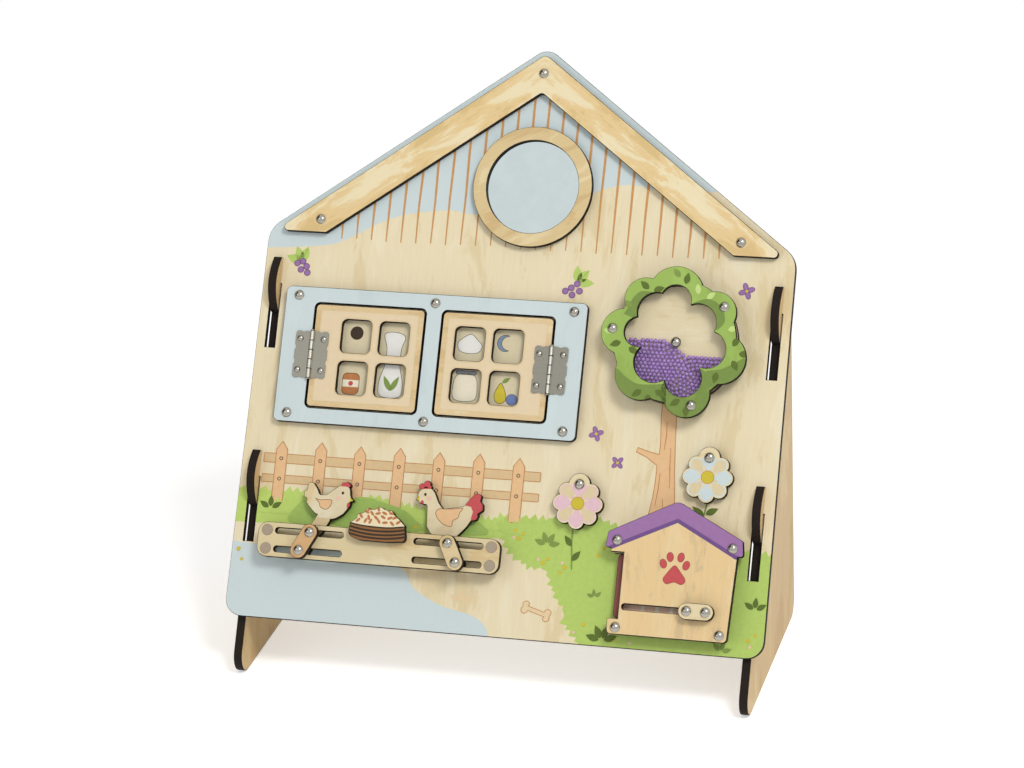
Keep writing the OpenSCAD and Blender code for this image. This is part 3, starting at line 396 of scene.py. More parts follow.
# %% [markdown]
# ## Print inks
# The pictures are screen-printed straight on the veneer with water-based ink. It
# dries matt and thin, so a faint mottle about 3 mm across shows through. One
# function makes every ink, because only the colour and the mottle differ.


# %% Ink material
def ink(name, colour, mottle):
    material, tree = new_material(name)
    turned, _ = sheet_coordinates(tree, "panel")
    specks = add(tree, "ShaderNodeTexNoise", {"Vector": turned, "Scale": 0.3, "Detail": 5, "Roughness": 0.7})
    shade = add(tree, "ShaderNodeMapRange", {"Value": specks.outputs[0], "From Min": 0.3, "From Max": 0.7,
                                             "To Min": 1 - mottle, "To Max": 1 + mottle})
    mixed = add(tree, "ShaderNodeMix", {0: 1.0, 6: linear(colour), 7: shade.outputs[0]},
                data_type="RGBA", blend_type="MULTIPLY")
    coat = add(tree, "ShaderNodeBsdfPrincipled", {"Base Color": mixed.outputs[2], "Roughness": 0.6, "IOR": 1.5,
                                                  "Specular IOR Level": 0.25})
    finish_material(tree, coat)
    return material


# Each ink's colour, and how strongly its mottle shows.
# The pane ink is a darker cream, painted shade for the recess behind the shutters.
INK_COLOURS = {
    "sky": ("#C9D5D5", 0.015), "plank": ("#C6935A", 0.1), "lawn": ("#B1C968", 0.06), "lawn_left": ("#BAD16D", 0.05),
    "bush": ("#A0BC60", 0.07), "leaf": ("#5C6E2C", 0.1), "leaf_mid": ("#7F9549", 0.08),
    "pale_green": ("#C0D684", 0.05), "crown_shade": ("#768D45", 0.07), "fence": ("#E2B98A", 0.05),
    "rail": ("#D6B98C", 0.05), "edge": ("#BC8351", 0.08), "nail": ("#5D4A3B", 0.1), "purple": ("#9A71A2", 0.05),
    "dark_purple": ("#6F4F86", 0.08), "red": ("#C25053", 0.06), "door": ("#E1CCA9", 0.03),
    "yellow": ("#CBB839", 0.05), "pink": ("#DFBBC4", 0.04), "tan": ("#D9C79F", 0.04), "sand": ("#D9C396", 0.05),
    "cream": ("#E6D7B3", 0.03), "pale_cream": ("#E9DFC6", 0.03), "pane": ("#D6C9A7", 0.04),
    "husk": ("#B87848", 0.1), "brown": ("#8A5A3C", 0.08), "dark_brown": ("#3A2D20", 0.1), "maroon": ("#894C45", 0.05),
    "grey": ("#8C9298", 0.05), "slate": ("#7C92A8", 0.05), "blush": ("#E4C0A8", 0.04), "peach": ("#E2C99F", 0.04),
    "white": ("#E6E4DC", 0.02), "plum": ("#6E7FB0", 0.05),
}
INKS = {name: ink(f"{name}_ink", colour, mottle) for name, (colour, mottle) in INK_COLOURS.items()}
print("inks:", len(INKS))

# %% [markdown]
# ## Eased plywood
# A cut sheet has no knife-sharp rim: sanding rounds it by about a third of a
# millimetre. The construction's sheets are copied, their triangles merged to
# whole faces, and the rim edges bevelled. A rounded normal alone would leave the
# outline sharp. Each copy stands for its node. Its front face is kept as well,
# because prints are trimmed to it. Of the layers inside the wheel, the slider
# and the kennel the edges hardly show, so those layers aren't eased.

# %% Mesh helpers
EASE = 0.35
MERGE = 0.002


def mesh_piece(name, bm, material, body, smooth=False):
    """Makes an object of a bmesh, gives it its material and lets it ride on a body."""
    bmesh.ops.recalc_face_normals(bm, faces=bm.faces)
    data = bpy.data.meshes.new(name)
    bm.to_mesh(data)
    bm.free()
    data.polygons.foreach_set("use_smooth", [smooth] * len(data.polygons))
    piece = bpy.data.objects.new(name, data)
    bpy.context.scene.collection.objects.link(piece)
    data.materials.append(material)
    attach(piece, body)
    return piece


def node_mesh(name):
    """A merged copy of a CAD node in panel coordinates."""
    bm = bmesh.new()
    bm.from_mesh(nodes[name].data)
    bmesh.ops.transform(bm, matrix=TO_PANEL, verts=bm.verts)
    bmesh.ops.remove_doubles(bm, verts=bm.verts, dist=MERGE)
    return bm


print("rims are eased by", EASE, "mm")

# %% Ease the rims
FLAT_ANGLE = math.radians(0.4)
ON_FACE, ON_EDGE = 0.99, 0.2
SLAB_SINK, SLAB_RISE = 0.3, 1.3
faces_of = {}


def face_slab(bm, top):
    """A thin slab under a sheet's front face, for trimming prints to it."""
    slab = bm.copy()
    spare = [face for face in slab.faces if face.normal.z < 0.999 or face.calc_center_median().z < top - 0.01]
    bmesh.ops.delete(slab, geom=spare, context="FACES")
    bmesh.ops.translate(slab, verts=slab.verts, vec=(0, 0, -SLAB_SINK))
    grown = bmesh.ops.extrude_face_region(slab, geom=slab.faces[:])
    raised = [part for part in grown["geom"] if isinstance(part, bmesh.types.BMVert)]
    bmesh.ops.translate(slab, verts=raised, vec=(0, 0, SLAB_RISE))
    bmesh.ops.recalc_face_normals(slab, faces=slab.faces)
    return slab


def eased(name, material, normal=Vector((0, 0, 1))):
    """An eased copy of a plywood node, which stands for it."""
    bm = node_mesh(name)
    bmesh.ops.dissolve_limit(bm, angle_limit=FLAT_ANGLE, use_dissolve_boundaries=False,
                             verts=bm.verts, edges=bm.edges, delimit=set())
    bm.normal_update()
    rims = []
    for edge in bm.edges:
        if len(edge.link_faces) == 2:
            low, high = sorted(abs(face.normal.dot(normal)) for face in edge.link_faces)
            if high > ON_FACE and low < ON_EDGE:
                rims.append(edge)
    bmesh.ops.bevel(bm, geom=rims, offset=EASE, offset_type="OFFSET", segments=2, profile=0.5, affect="EDGES",
                    material=-1, clamp_overlap=False)
    bm.normal_update()
    top = max(vert.co.z for vert in bm.verts)
    box = [f([vert.co[i] for vert in bm.verts]) for f in (min, max) for i in (0, 1)]
    if normal.z:
        faces_of[name] = (face_slab(bm, top), top, box)
    open_edges = sum(1 for edge in bm.edges if not edge.is_manifold)
    print(name, "rims", len(rims), "open edges", open_edges)
    bmesh.ops.transform(bm, matrix=PANEL, verts=bm.verts)
    piece = mesh_piece(f"{name}_eased", bm, material, nodes[name]["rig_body"])
    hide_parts(name)
    return piece


SHEETS = {
    "front_panel": panel_print, "roof_trim": trim_print, "window_frame": blue_print, "mirror_ring": ring_birch,
    "left_door": door_birch, "right_door": door_birch, "wheel_ring": green_print, "left_daisy": bare_birch,
    "right_daisy": bare_birch, "slider_plate": slider_birch, "feed_bowl": bowl_print, "left_hen": hen_birch,
    "right_hen": hen_birch, "left_link": warm_birch, "right_link": link_birch, "kennel_front": kennel_print,
    "kennel_tile": maroon_print, "tile_handle": bare_birch,
}
for name, material in SHEETS.items():
    eased(name, material)
for name in ("left_side_plate", "right_side_plate"):
    eased(name, plate_birch, across)


# %% Dress the layers that stay as they are
def dress(name, material):
    """Gives a construction node its material."""
    data = nodes[name].data
    data.materials.clear()
    data.materials.append(material)


for name in ("wheel_back", "wheel_chamber", "slider_spacers", "kennel_spacer"):
    dress(name, bare_birch)
print("eased sheets:", len(SHEETS) + 2)

# %% [markdown]
# ## Printed shapes
# A printed shape is a film far thinner than a hair. Each one is drawn here as
# an outline on a face, in millimetres, given a few hundredths of a millimetre
# of thickness so that it is a closed solid, and where it runs off the sheet it
# is trimmed to the sheet's face. Shapes that lie over others get a higher
# layer, so that no two faces share a plane.

# %% Printed shapes
FILM = 0.04
SINK = 0.1


def film_shapes(outlines, low, high, line):
    """Closed films with these outlines; line keeps only a rim of that width."""
    bm = bmesh.new()
    for outline in outlines:
        kept = [p for i, p in enumerate(outline) if math.dist(p, outline[i - 1]) > 0.01]
        face = bm.faces.new([bm.verts.new((x, u, low)) for x, u in kept])
        face.normal_update()
        region = [face]
        if line:
            region = bmesh.ops.inset_region(bm, faces=[face], thickness=line, use_boundary=True,
                                             use_even_offset=True)["faces"]
            bmesh.ops.delete(bm, geom=[face], context="FACES")
        grown = bmesh.ops.extrude_face_region(bm, geom=region)
        top = [part for part in grown["geom"] if isinstance(part, bmesh.types.BMVert)]
        bmesh.ops.translate(bm, verts=top, vec=(0, 0, high - low))
    bmesh.ops.recalc_face_normals(bm, faces=bm.faces)
    return bm


def temp_object(bm):
    data = bpy.data.meshes.new("temp")
    bm.to_mesh(data)
    temp = bpy.data.objects.new("temp", data)
    bpy.context.scene.collection.objects.link(temp)
    return temp


def trimmed(bm, sheet):
    """Cuts films to the face of a sheet."""
    films, face = temp_object(bm), temp_object(faces_of[sheet][0])
    cut = films.modifiers.new("trim", "BOOLEAN")
    cut.operation, cut.solver, cut.object, cut.use_self = "INTERSECT", "EXACT", face, True
    bpy.context.view_layer.update()
    result = bpy.data.meshes.new_from_object(films.evaluated_get(bpy.context.evaluated_depsgraph_get()))
    bm.clear()
    bm.from_mesh(result)
    for temp in (films, face):
        data = temp.data
        bpy.data.objects.remove(temp)
        bpy.data.meshes.remove(data)
    bpy.data.meshes.remove(result)
    bmesh.ops.remove_doubles(bm, verts=bm.verts, dist=0.0005)
    return bm


def printed(name, outlines, colour, layer=1, on="front_panel", trim=False, line=None):
    """Prints outlines in one colour on the front face of a sheet."""
    height = faces_of[on][1]
    bm = film_shapes(outlines, height - SINK, height + FILM * layer, line)
    if trim:
        bm = trimmed(bm, on)
    print(name, "on", on, "in", colour, "with", len(bm.faces), "faces")
    bmesh.ops.transform(bm, matrix=PANEL, verts=bm.verts)
    return mesh_piece(name, bm, INKS[colour], nodes[on]["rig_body"])


print("each layer of print is", FILM, "mm thick")


# %% Round and leaf outlines
def ring_points(x, u, rx, ru, turn_deg=0, count=28, start=0, sweep=360):
    """Points on an ellipse or part of one."""
    c, s = math.cos(math.radians(turn_deg)), math.sin(math.radians(turn_deg))
    points = []
    for i in range(count if sweep == 360 else count + 1):
        a = math.radians(start + sweep * i / count)
        px, pu = rx * math.cos(a), ru * math.sin(a)
        points.append((x + px * c - pu * s, u + px * s + pu * c))
    return points


def leaf(x, u, angle, length, width):
    """A pointed leaf from its stalk end, in the direction of angle."""
    c, s = math.cos(math.radians(angle)), math.sin(math.radians(angle))
    steps = 9
    right = [(length * i / steps, -width / 2 * math.sin(math.pi * (i / steps) ** 0.8)) for i in range(steps + 1)]
    left = [(px, -pu) for px, pu in right[-2:0:-1]]
    return [(x + px * c - pu * s, u + px * s + pu * c) for px, pu in right + left]


print("a leaf has", len(leaf(0, 0, 90, 9, 4)), "points")


# %% Strokes and boxes
def strip(points, width, ends=0.6):
    """A stroke along a line of points, narrowing a little at both ends."""
    left, right = [], []
    for i, (x, u) in enumerate(points):
        ax, au = points[max(i - 1, 0)]
        bx, bu = points[min(i + 1, len(points) - 1)]
        size = math.hypot(bx - ax, bu - au)
        nx, nu = -(bu - au) / size, (bx - ax) / size
        half = width / 2 * (ends if i in (0, len(points) - 1) else 1)
        left.append((x + nx * half, u + nu * half))
        right.append((x - nx * half, u - nu * half))
    return left + right[::-1]


def rounded_box(x0, u0, x1, u1, r, steps=5):
    points = []
    for cx, cu, start in ((x1 - r, u0 + r, -90), (x1 - r, u1 - r, 0), (x0 + r, u1 - r, 90), (x0 + r, u0 + r, 180)):
        points += ring_points(cx, cu, r, r, 0, steps, start, 90)
    return points


print("a rounded box has", len(rounded_box(0, 0, 20, 10, 2)), "points")


# %% Smooth lines
def smooth_line(points, steps=6):
    """A Catmull-Rom curve, which passes through every point it is given."""
    line = []
    for i in range(len(points) - 1):
        p = [Vector(points[min(max(i + k, 0), len(points) - 1)]) for k in (-1, 0, 1, 2)]
        for j in range(steps):
            t = j / steps
            line.append(tuple(0.5 * (2 * p[1] + (p[2] - p[0]) * t + (2 * p[0] - 5 * p[1] + 4 * p[2] - p[3]) * t * t
                                     + (3 * p[1] - p[0] - 3 * p[2] + p[3]) * t ** 3)))
    return line + [tuple(points[-1])]


def smooth_loop(points, steps=6):
    """A smooth closed outline through points."""
    count = len(points)
    wide = smooth_line([points[-2], points[-1], *points, points[0], points[1]], steps)
    return wide[2 * steps:(count + 2) * steps]


print("a smooth loop of 4 points has", len(smooth_loop([(0, 0), (9, 0), (9, 9), (0, 9)])), "points")

# %% [markdown]
# ## The panel's printed ground
# The ground is a pale sky in the gable, a lawn with tufted edges, and a pond in
# the lower left corner, with a path of bare wood between them. Wide fields are
# drawn past the panel's edge and trimmed, so that they end exactly at the rim.

# %% Sky and pond
sky_edge = smooth_line([(-200, 263), (-189.5, 263), (-148, 267), (-130, 273.5), (-109, 285.5), (-88, 293), (-59, 297),
                        (-41, 295), (-5, 296), (25, 305), (47.5, 317), (68.5, 322), (90, 319.6), (108, 322), (127, 320),
                        (150, 324), (200, 324)])
printed("print_sky", [sky_edge + [(200, 430), (-200, 430)]], "sky", trim=True)
pond_edge = smooth_line([(-200, 53), (-160, 51), (-110, 52), (-82, 48), (-65, 40.7), (-56, 28.7), (-36.6, 19),
                         (-14.5, 14), (-4, 8), (-0.2, 0.6), (0, -6)])
printed("print_pond", [pond_edge + [(-200, -6)]], "sky", trim=True)


# %% Lawn
def tufted(edge, pitch, height, lean_x, seed):
    """Pointed blades along an edge; lean_x and the edge's own left side give their direction."""
    rng = random.Random(seed)
    points, left_over = [], 0.0
    for a, b in zip(edge, edge[1:]):
        a, b = Vector(a), Vector(b)
        run = (b - a).length
        along = (b - a) / run
        side_way = Vector((-along.y, along.x))
        at = left_over
        while at < run:
            foot = a + along * at
            step = pitch * rng.uniform(0.75, 1.3)
            tip = foot + along * step * (0.5 + lean_x) + side_way * height * rng.uniform(0.45, 1.0)
            points += [tuple(foot), tuple(tip)]
            at += step
        left_over = at - run
    return points + [tuple(edge[-1])]


lawn_top = [(-200, 92), (-175.9, 92.2), (-166, 91), (-146, 92), (-103.5, 88), (-95, 92), (-77, 89), (-59, 86),
            (-12.6, 82), (4.2, 86), (30, 85), (37, 87), (69, 88), (80, 85), (120, 80), (172.4, 74.2), (189.4, 72.5),
            (200, 72)]
strip_low = [(-200, 66), (-150, 67), (-100, 66), (-50, 68), (-20, 66), (2, 69), (5, 73.9)]
path_edge = [(2.7, 73.9), (8.3, 61.6), (24.5, 51.3), (35.5, 50), (42, 39), (46, 31), (52, 23), (53, 14.7), (60, 7),
             (66, 0), (68, -6)]
top_blades = tufted([(x, u - 2) for x, u in smooth_line(lawn_top, 4)], 5.2, 4.2, 0.1, 3)
left_top = [p for p in top_blades if p[0] < 4]
right_top = [p for p in top_blades if p[0] > 2]
printed("print_lawn_left", [left_top + strip_low[::-1]], "lawn_left", layer=1, trim=True)
path_blades = tufted(smooth_line(path_edge, 4)[::-1], 5.5, 4.0, 0.15, 5)
printed("print_lawn_right", [right_top + [(200, -6)] + path_blades], "lawn", layer=2, trim=True)
printed("print_bushes", [smooth_loop(points) for points in (
    [(-152, 69), (-149, 79), (-142, 85), (-132, 84), (-124, 77), (-124, 69)],
    [(-118, 69), (-117, 82), (-108, 88.5), (-97, 90), (-86, 87.5), (-72, 84), (-62, 78), (-58, 69)],
    [(-50, 70), (-46, 79), (-36, 83), (-22, 81), (-12, 77), (-10, 70)])], "bush", layer=8, trim=True)

# %% [markdown]
# ## Planks in the gable, picket fence and trunk
# Plank lines stand 10.9 mm apart on the wall. A fence of pointed pickets on two
# rails is a pattern as old as gardens. Each board has a thin darker rim. The
# lines are closed shapes, where a texture would blur when seen from near.

# %% Planks
PLANK_PITCH, PLANK_LINES, PLANK_LOW = 10.9, 26, 272.7
APEX_U, ROOF_SLOPE = 400, 0.7365
PLANK_WIDTHS = (0.8, 1.5, 1.8, 1.6)
rng = random.Random(7)
plank_lines = []
for i in range(PLANK_LINES):
    x = (i - (PLANK_LINES - 1) / 2) * PLANK_PITCH
    roof_edge = APEX_U - abs(x) * ROOF_SLOPE
    low = PLANK_LOW + rng.uniform(-0.8, 0.8)
    drift = rng.uniform(-0.4, 0.4)
    points = [(x, low), (x + drift, low + (roof_edge - low) * 0.4),
              (x - drift * 0.5, low + (roof_edge - low) * 0.7), (x, roof_edge)]
    left = [(px - w / 2, pu) for (px, pu), w in zip(points, PLANK_WIDTHS)]
    right = [(px + w / 2, pu) for (px, pu), w in zip(points, PLANK_WIDTHS)]
    plank_lines.append(right + left[::-1])
printed("print_planks", plank_lines, "plank", layer=3, trim=True)

# %% Fence
RAILS = [(-176, 95.5, 26, 101.5), (-176, 109.5, 26, 116.5)]
PICKETS, FIRST_PICKET, PICKET_PITCH = 7, -163, 28.8
rails = [rounded_box(*rail, 0.8) for rail in RAILS]
pickets = []
for i in range(PICKETS):
    x, u0, u1, half = FIRST_PICKET + PICKET_PITCH * i, 80 + (i % 3), 125.5 + (i % 2), 4.3
    pickets.append([(x - half, u0), (x + half, u0), (x + half, u1 - 6), (x, u1), (x - half, u1 - 6)])
printed("print_rails", rails, "rail", layer=3)
printed("print_rail_rims", rails, "edge", layer=4, line=0.5)
printed("print_pickets", pickets, "fence", layer=5)
printed("print_picket_rims", pickets, "edge", layer=6, line=0.5)
nails = [ring_points(FIRST_PICKET + PICKET_PITCH * i, u, 1.4, 1.4, 0, 12) for i in range(PICKETS) for u in (98.5, 113)]
printed("print_nails", nails, "nail", layer=7, line=0.55)
front_top = tufted([(-176, 82), (-120, 81), (-60, 80), (0, 78.5)], 5.0, 5.6, 0.05, 11)
printed("print_front_lawn", [[(0, 74), *front_top[::-1], (-176, 74)]], "lawn_left", layer=7)
corner_top = tufted([(-2, 78), (12, 79), (24, 81)], 5.0, 5.0, 0.05, 12)
printed("print_corner_lawn", [[(24, 72), *corner_top[::-1], (3, 72)]], "lawn", layer=8)

# %% Trunk
trunk = smooth_line([(106.4, 176), (106.4, 160), (107.5, 145), (107.5, 135.1)], 3)
trunk += [(100, 136.6), (92.3, 138.9), (91.2, 135.4), (99, 132), (106.5, 127), (106.6, 118), (105.8, 105),
          (103.9, 92.6), (122.6, 92.6), (122, 101.5), (119.7, 125), (118.4, 145), (117.6, 161), (117.8, 176)]
printed("print_trunk", [trunk], "fence", layer=3)
printed("print_trunk_rim", [trunk], "edge", layer=4, line=0.55)
bark = [strip([(111, 158), (111.6, 148), (110.8, 138)], 0.7), strip([(115.4, 140), (116, 126), (117.2, 112)], 0.7),
        strip([(109.6, 122), (109.2, 110), (108, 99)], 0.7), strip([(113, 104), (113.6, 98)], 0.7)]
printed("print_bark", bark, "edge", layer=5)


# %% [markdown]
# ## Small plants, berries and a bone
# Sprigs of plain leaves, dots and blossoms fill the lawn and the wall, all of
# them generic printing-block shapes. One outline for a leaf and one for a ring
# serve them all, turned and sized as needed.

# %% Sprigs, flowers and stems
def sprig(x, u, angle, size, leaves=3, fan=58):
    """Leaves that spread from one point, each starting a little way out."""
    shapes = []
    for i in range(leaves):
        way = angle + fan * (i - (leaves - 1) / 2)
        start = size * 0.16
        shapes.append(leaf(x + start * math.cos(math.radians(way)), u + start * math.sin(math.radians(way)), way,
                           size * 0.84, size * 0.42))
    return shapes


def blossom(x, u, r, petals=4, turn_deg=20):
    return [ring_points(x + r * 0.55 * math.cos(math.radians(turn_deg + 360 / petals * i)),
                        u + r * 0.55 * math.sin(math.radians(turn_deg + 360 / petals * i)),
                        r * 0.55, r * 0.36, turn_deg + 360 / petals * i, 14) for i in range(petals)]


dark_sprigs = sprig(79.7, 3.8, 92, 11.5, 4, 48) + sprig(184, 33, 88, 9) + sprig(-167, 77, 90, 9.5)
printed("print_dark_sprigs", dark_sprigs, "leaf", layer=9, trim=True)
mid_sprigs = sprig(35, 66.5, 85, 9.5, 4, 50) + sprig(163, 3, 75, 8) + sprig(72, 33, 100, 6)
printed("print_mid_sprigs", mid_sprigs, "leaf_mid", layer=9, trim=True)
stems = [smooth_line([(52.4, 84), (52.2, 72), (53.2, 61), (54.1, 50.7)], 4),
         smooth_line([(144.5, 106), (143, 96), (140, 82)], 4)]
printed("print_stems", [strip(line, 1.0) for line in stems], "leaf_mid", layer=9)
stem_leaves = [leaf(52.6, 67, 128, 9, 4.2), leaf(53.6, 57, 52, 9, 4.2), leaf(144, 96, 28, 9.5, 4.6),
               leaf(143, 94, 142, 11, 4.6)]
printed("print_stem_leaves", stem_leaves, "leaf", layer=10)

# %% Dots in the grass
yellow_dots = [ring_points(x, u, r * 1.2, r * 1.2, 0, 10) for x, u, r in (
    (-187, 47, 1.3), (-184, 40, 1.0), (14.8, 69.5, 1.3), (17.5, 73, 1.0), (12, 75, 1.1), (33.5, 54, 1.3),
    (36.5, 57, 1.0), (49, 52, 1.3), (46, 48, 1.0), (66, 14, 1.2), (88, 5, 1.1), (181, 12, 1.2), (186, 16, 1.0),
    (72, 62, 1.2), (75, 67, 1.0), (-60, 72, 1.1), (-104, 71, 1.1), (-30, 73, 1.1), (-130, 73, 1.0))]
printed("print_yellow_dots", yellow_dots, "yellow", layer=9, trim=True)
blush_places = ((11, 70), (30, 56), (47, 55), (84, 9), (100, 4), (183, 8), (60, 8))
blush_dots = [ring_points(x, u, 1.1, 1.1, 0, 10) for x, u in blush_places]
printed("print_blush_dots", blush_dots, "blush", layer=9, trim=True)
printed("print_path_sprig", sprig(-22, 22, 92, 9.5), "peach", layer=3)

# %% Bone on the path
BONE_TURN = -16.5
bone_way = Vector((math.cos(math.radians(BONE_TURN)), math.sin(math.radians(BONE_TURN))))
bone_side = Vector((-bone_way.y, bone_way.x))
half_bone = [(6.4, -1.7), *ring_points(8.2, -2.0, 2.6, 2.6, 0, 9, -155, 190),
             *ring_points(8.2, 2.0, 2.6, 2.6, 0, 9, -35, 190), (5.4, 1.7)]
full_bone = half_bone + [(-x, -u) for x, u in half_bone]
bone = [(32 + x * bone_way.x + u * bone_side.x, 20.2 + x * bone_way.y + u * bone_side.y) for x, u in full_bone]
printed("print_bone", [bone], "peach", layer=3)
printed("print_bone_rim", [bone], "edge", layer=4, line=0.45)

# %% Berries and blossoms
berry_places = [(-163 + dx, 251 + du) for dx, du in ((-4, 2), (0, 3.5), (3, 0), (-1, -2.5), (4, -4.5))]
berry_places += [(35 + dx, 246 + du) for dx, du in ((-5, -1.5), (-1, 1), (3, 4), (0, -4), (5, -1))]
berry_leaves = [leaf(-164, 254, a, 12, 6.4) for a in (70, 112, 160)] + [leaf(38, 251, a, 12, 6.4) for a in (95, 50, 0)]
printed("print_berry_leaves", berry_leaves, "lawn", layer=3)
veins = [strip([(-164, 254), (-160.5, 263.6)], 0.5), strip([(38, 251), (45.2, 259.5)], 0.5)]
printed("print_berry_leaf_veins", veins, "leaf_mid", layer=4)
berries = [ring_points(x, u, 2.4, 2.4, 0, 14) for x, u in berry_places]
printed("print_berries", berries, "purple", layer=5)
printed("print_berry_rims", berries, "dark_purple", layer=6, line=0.5)
wall_blossoms = blossom(158, 252, 5.5) + blossom(62, 146, 5) + blossom(79, 127, 4.6, turn_deg=45)
printed("print_wall_blossoms", wall_blossoms, "purple", layer=3)
printed("print_blossom_rims", wall_blossoms, "dark_purple", layer=4, line=0.35)
blossom_hearts = [ring_points(x, u, 1.1, 1.1, 0, 10) for x, u in ((158, 252), (62, 146), (79, 127))]
printed("print_blossom_hearts", blossom_hearts, "yellow", layer=5)

# %% [markdown]
# ## Metal, mirror, clear window and beads
# The heads are nickel-plated steel, polished, which mirrors the room in small.
# The hinges are duller rolled steel. The mirror is a film on a thin disc. The
# window over the beads is clear acrylic. The beads are glossy polystyrene. A
# metal's colour is in its reflections alone, so each metal is one colour, one
# roughness, and fine scratches that change both a little.


# %% Metals
def metal(name, colour, roughness, grain_mm, scratch):
    material, tree = new_material(name)
    place = add(tree, "ShaderNodeTexCoord")
    scratches = add(tree, "ShaderNodeTexNoise", {"Vector": place.outputs["Object"], "Scale": 1000 / grain_mm,
                                                 "Detail": 4, "Roughness": 0.7})
    rough = add(tree, "ShaderNodeMapRange", {"Value": scratches.outputs[0], "From Min": 0.3, "From Max": 0.7,
                                             "To Min": roughness * (1 - scratch), "To Max": roughness * (1 + scratch)})
    shade = add(tree, "ShaderNodeMapRange", {"Value": scratches.outputs[0], "From Min": 0.3, "From Max": 0.7,
                                             "To Min": 1 - scratch * 0.25, "To Max": 1 + scratch * 0.1})
    tone = add(tree, "ShaderNodeMix", {0: 1.0, 6: linear(colour), 7: shade.outputs[0]},
               data_type="RGBA", blend_type="MULTIPLY")
    bump = add(tree, "ShaderNodeBump", {"Height": scratches.outputs[0], "Strength": 0.08, "Distance": 0.0001})
    shader = add(tree, "ShaderNodeBsdfPrincipled", {"Base Color": tone.outputs[2], "Metallic": 1.0,
                                                    "Roughness": rough.outputs[0], "Normal": bump.outputs[0]})
    finish_material(tree, shader)
    return material


# Nickel plate, tumbled smooth: a small sharp picture of the room, a little warm.
nickel = metal("polished_nickel", "#A8A49A", 0.16, 1.1, 0.4)
# Cold-rolled steel, bare: dull grey with fine scratches.
rolled_steel = metal("rolled_steel", "#928F84", 0.34, 0.7, 0.3)
# Zinc plate on stamped discs: matt and blotchy.
zinc_disc = metal("matt_zinc", "#A89A87", 0.6, 0.6, 0.3)
# Aluminium film on a plastic disc: sharp and even, with faint waves 17 mm long.
mirror_film = metal("mirror_film", "#CAD6D6", 0.03, 17, 0.2)


# %% Acrylic and polystyrene
def clear_acrylic():
    """Cast acrylic sheet: clear, with faint reflections and a slight haze in patches about 11 mm wide."""
    material, tree = new_material("clear_acrylic")
    place = add(tree, "ShaderNodeTexCoord")
    haze = add(tree, "ShaderNodeTexNoise", {"Vector": place.outputs["Object"], "Scale": 90, "Detail": 3})
    rough = add(tree, "ShaderNodeMapRange", {"Value": haze.outputs[0], "To Min": 0.02, "To Max": 0.07})
    shader = add(tree, "ShaderNodeBsdfPrincipled", {"Base Color": linear("#F4F8F8"), "Roughness": rough.outputs[0],
                                                    "IOR": 1.49, "Alpha": 0.03})
    finish_material(tree, shader)
    return material


def bead_plastic():
    """Moulded polystyrene: glossy and saturated, the tint changing from bead to bead, 3 mm apart."""
    material, tree = new_material("purple_polystyrene")
    place = add(tree, "ShaderNodeTexCoord")
    tint = add(tree, "ShaderNodeTexNoise", {"Vector": place.outputs["Object"], "Scale": 330, "Detail": 1})
    spread = add(tree, "ShaderNodeMapRange", {"Value": tint.outputs[0], "From Min": 0.35, "From Max": 0.65})
    colour = add(tree, "ShaderNodeMix", {0: spread.outputs[0], 6: linear("#8E5FAC"), 7: linear("#A87CC8")},
                 data_type="RGBA")
    shader = add(tree, "ShaderNodeBsdfPrincipled", {"Base Color": colour.outputs[2], "Roughness": 0.3, "IOR": 1.5,
                                                    "Specular IOR Level": 0.5})
    finish_material(tree, shader)
    return material


dress("wheel_window", clear_acrylic())
bead_material = bead_plastic()
dress("beads", bead_material)
dress("mirror_disc", mirror_film)
for name in ("wheel_washer", "wheel_sleeve", "pivot_nuts", "left_hinge_pin", "right_hinge_pin"):
    dress(name, nickel)
dress("slider_fasteners", zinc_disc)


# %% [markdown]
# ## Where the small parts are
# A node such as a group of screws is one mesh of several separate solids. A walk
# along the edges gathers each solid's points, and their box says where it sits,
# so that no place is typed twice. The editor can separate loose parts as well,
# but it would leave an object for each.

# %% Find the places of a node's solids
def solid_places(name):
    """The box of each separate solid of a CAD node, in panel coordinates."""
    bm = node_mesh(name)
    todo, places = set(bm.verts), []
    while todo:
        stack, island = [todo.pop()], []
        while stack:
            vert = stack.pop()
            island.append(vert.co.copy())
            for edge in vert.link_edges:
                other = edge.other_vert(vert)
                if other in todo:
                    todo.remove(other)
                    stack.append(other)
        low = Vector([min(p[i] for p in island) for i in range(3)])
        high = Vector([max(p[i] for p in island) for i in range(3)])
        places.append((low, high))
    bm.free()
    return sorted(places, key=lambda box: (round(box[0].x, 1), round(box[0].y, 1)))


print("kennel screws found:", len(solid_places("kennel_screws")))


# %% [markdown]
# ## Hinge leaves
# A butterfly hinge is two stamped leaves whose knuckles interleave round a pin.
# The barrel is painted a little brighter than the leaves as a painted
# highlight, and the gaps between the knuckles get painted shade. The
# construction has the knuckles themselves, but the gaps between them are too
# fine to see, so the material paints their shade over them.

# %% Hinge leaves
HINGE_MM, KNUCKLES, BARREL_R, GAP_SHADE_MM = 33.5, 5, 1.5, 0.36


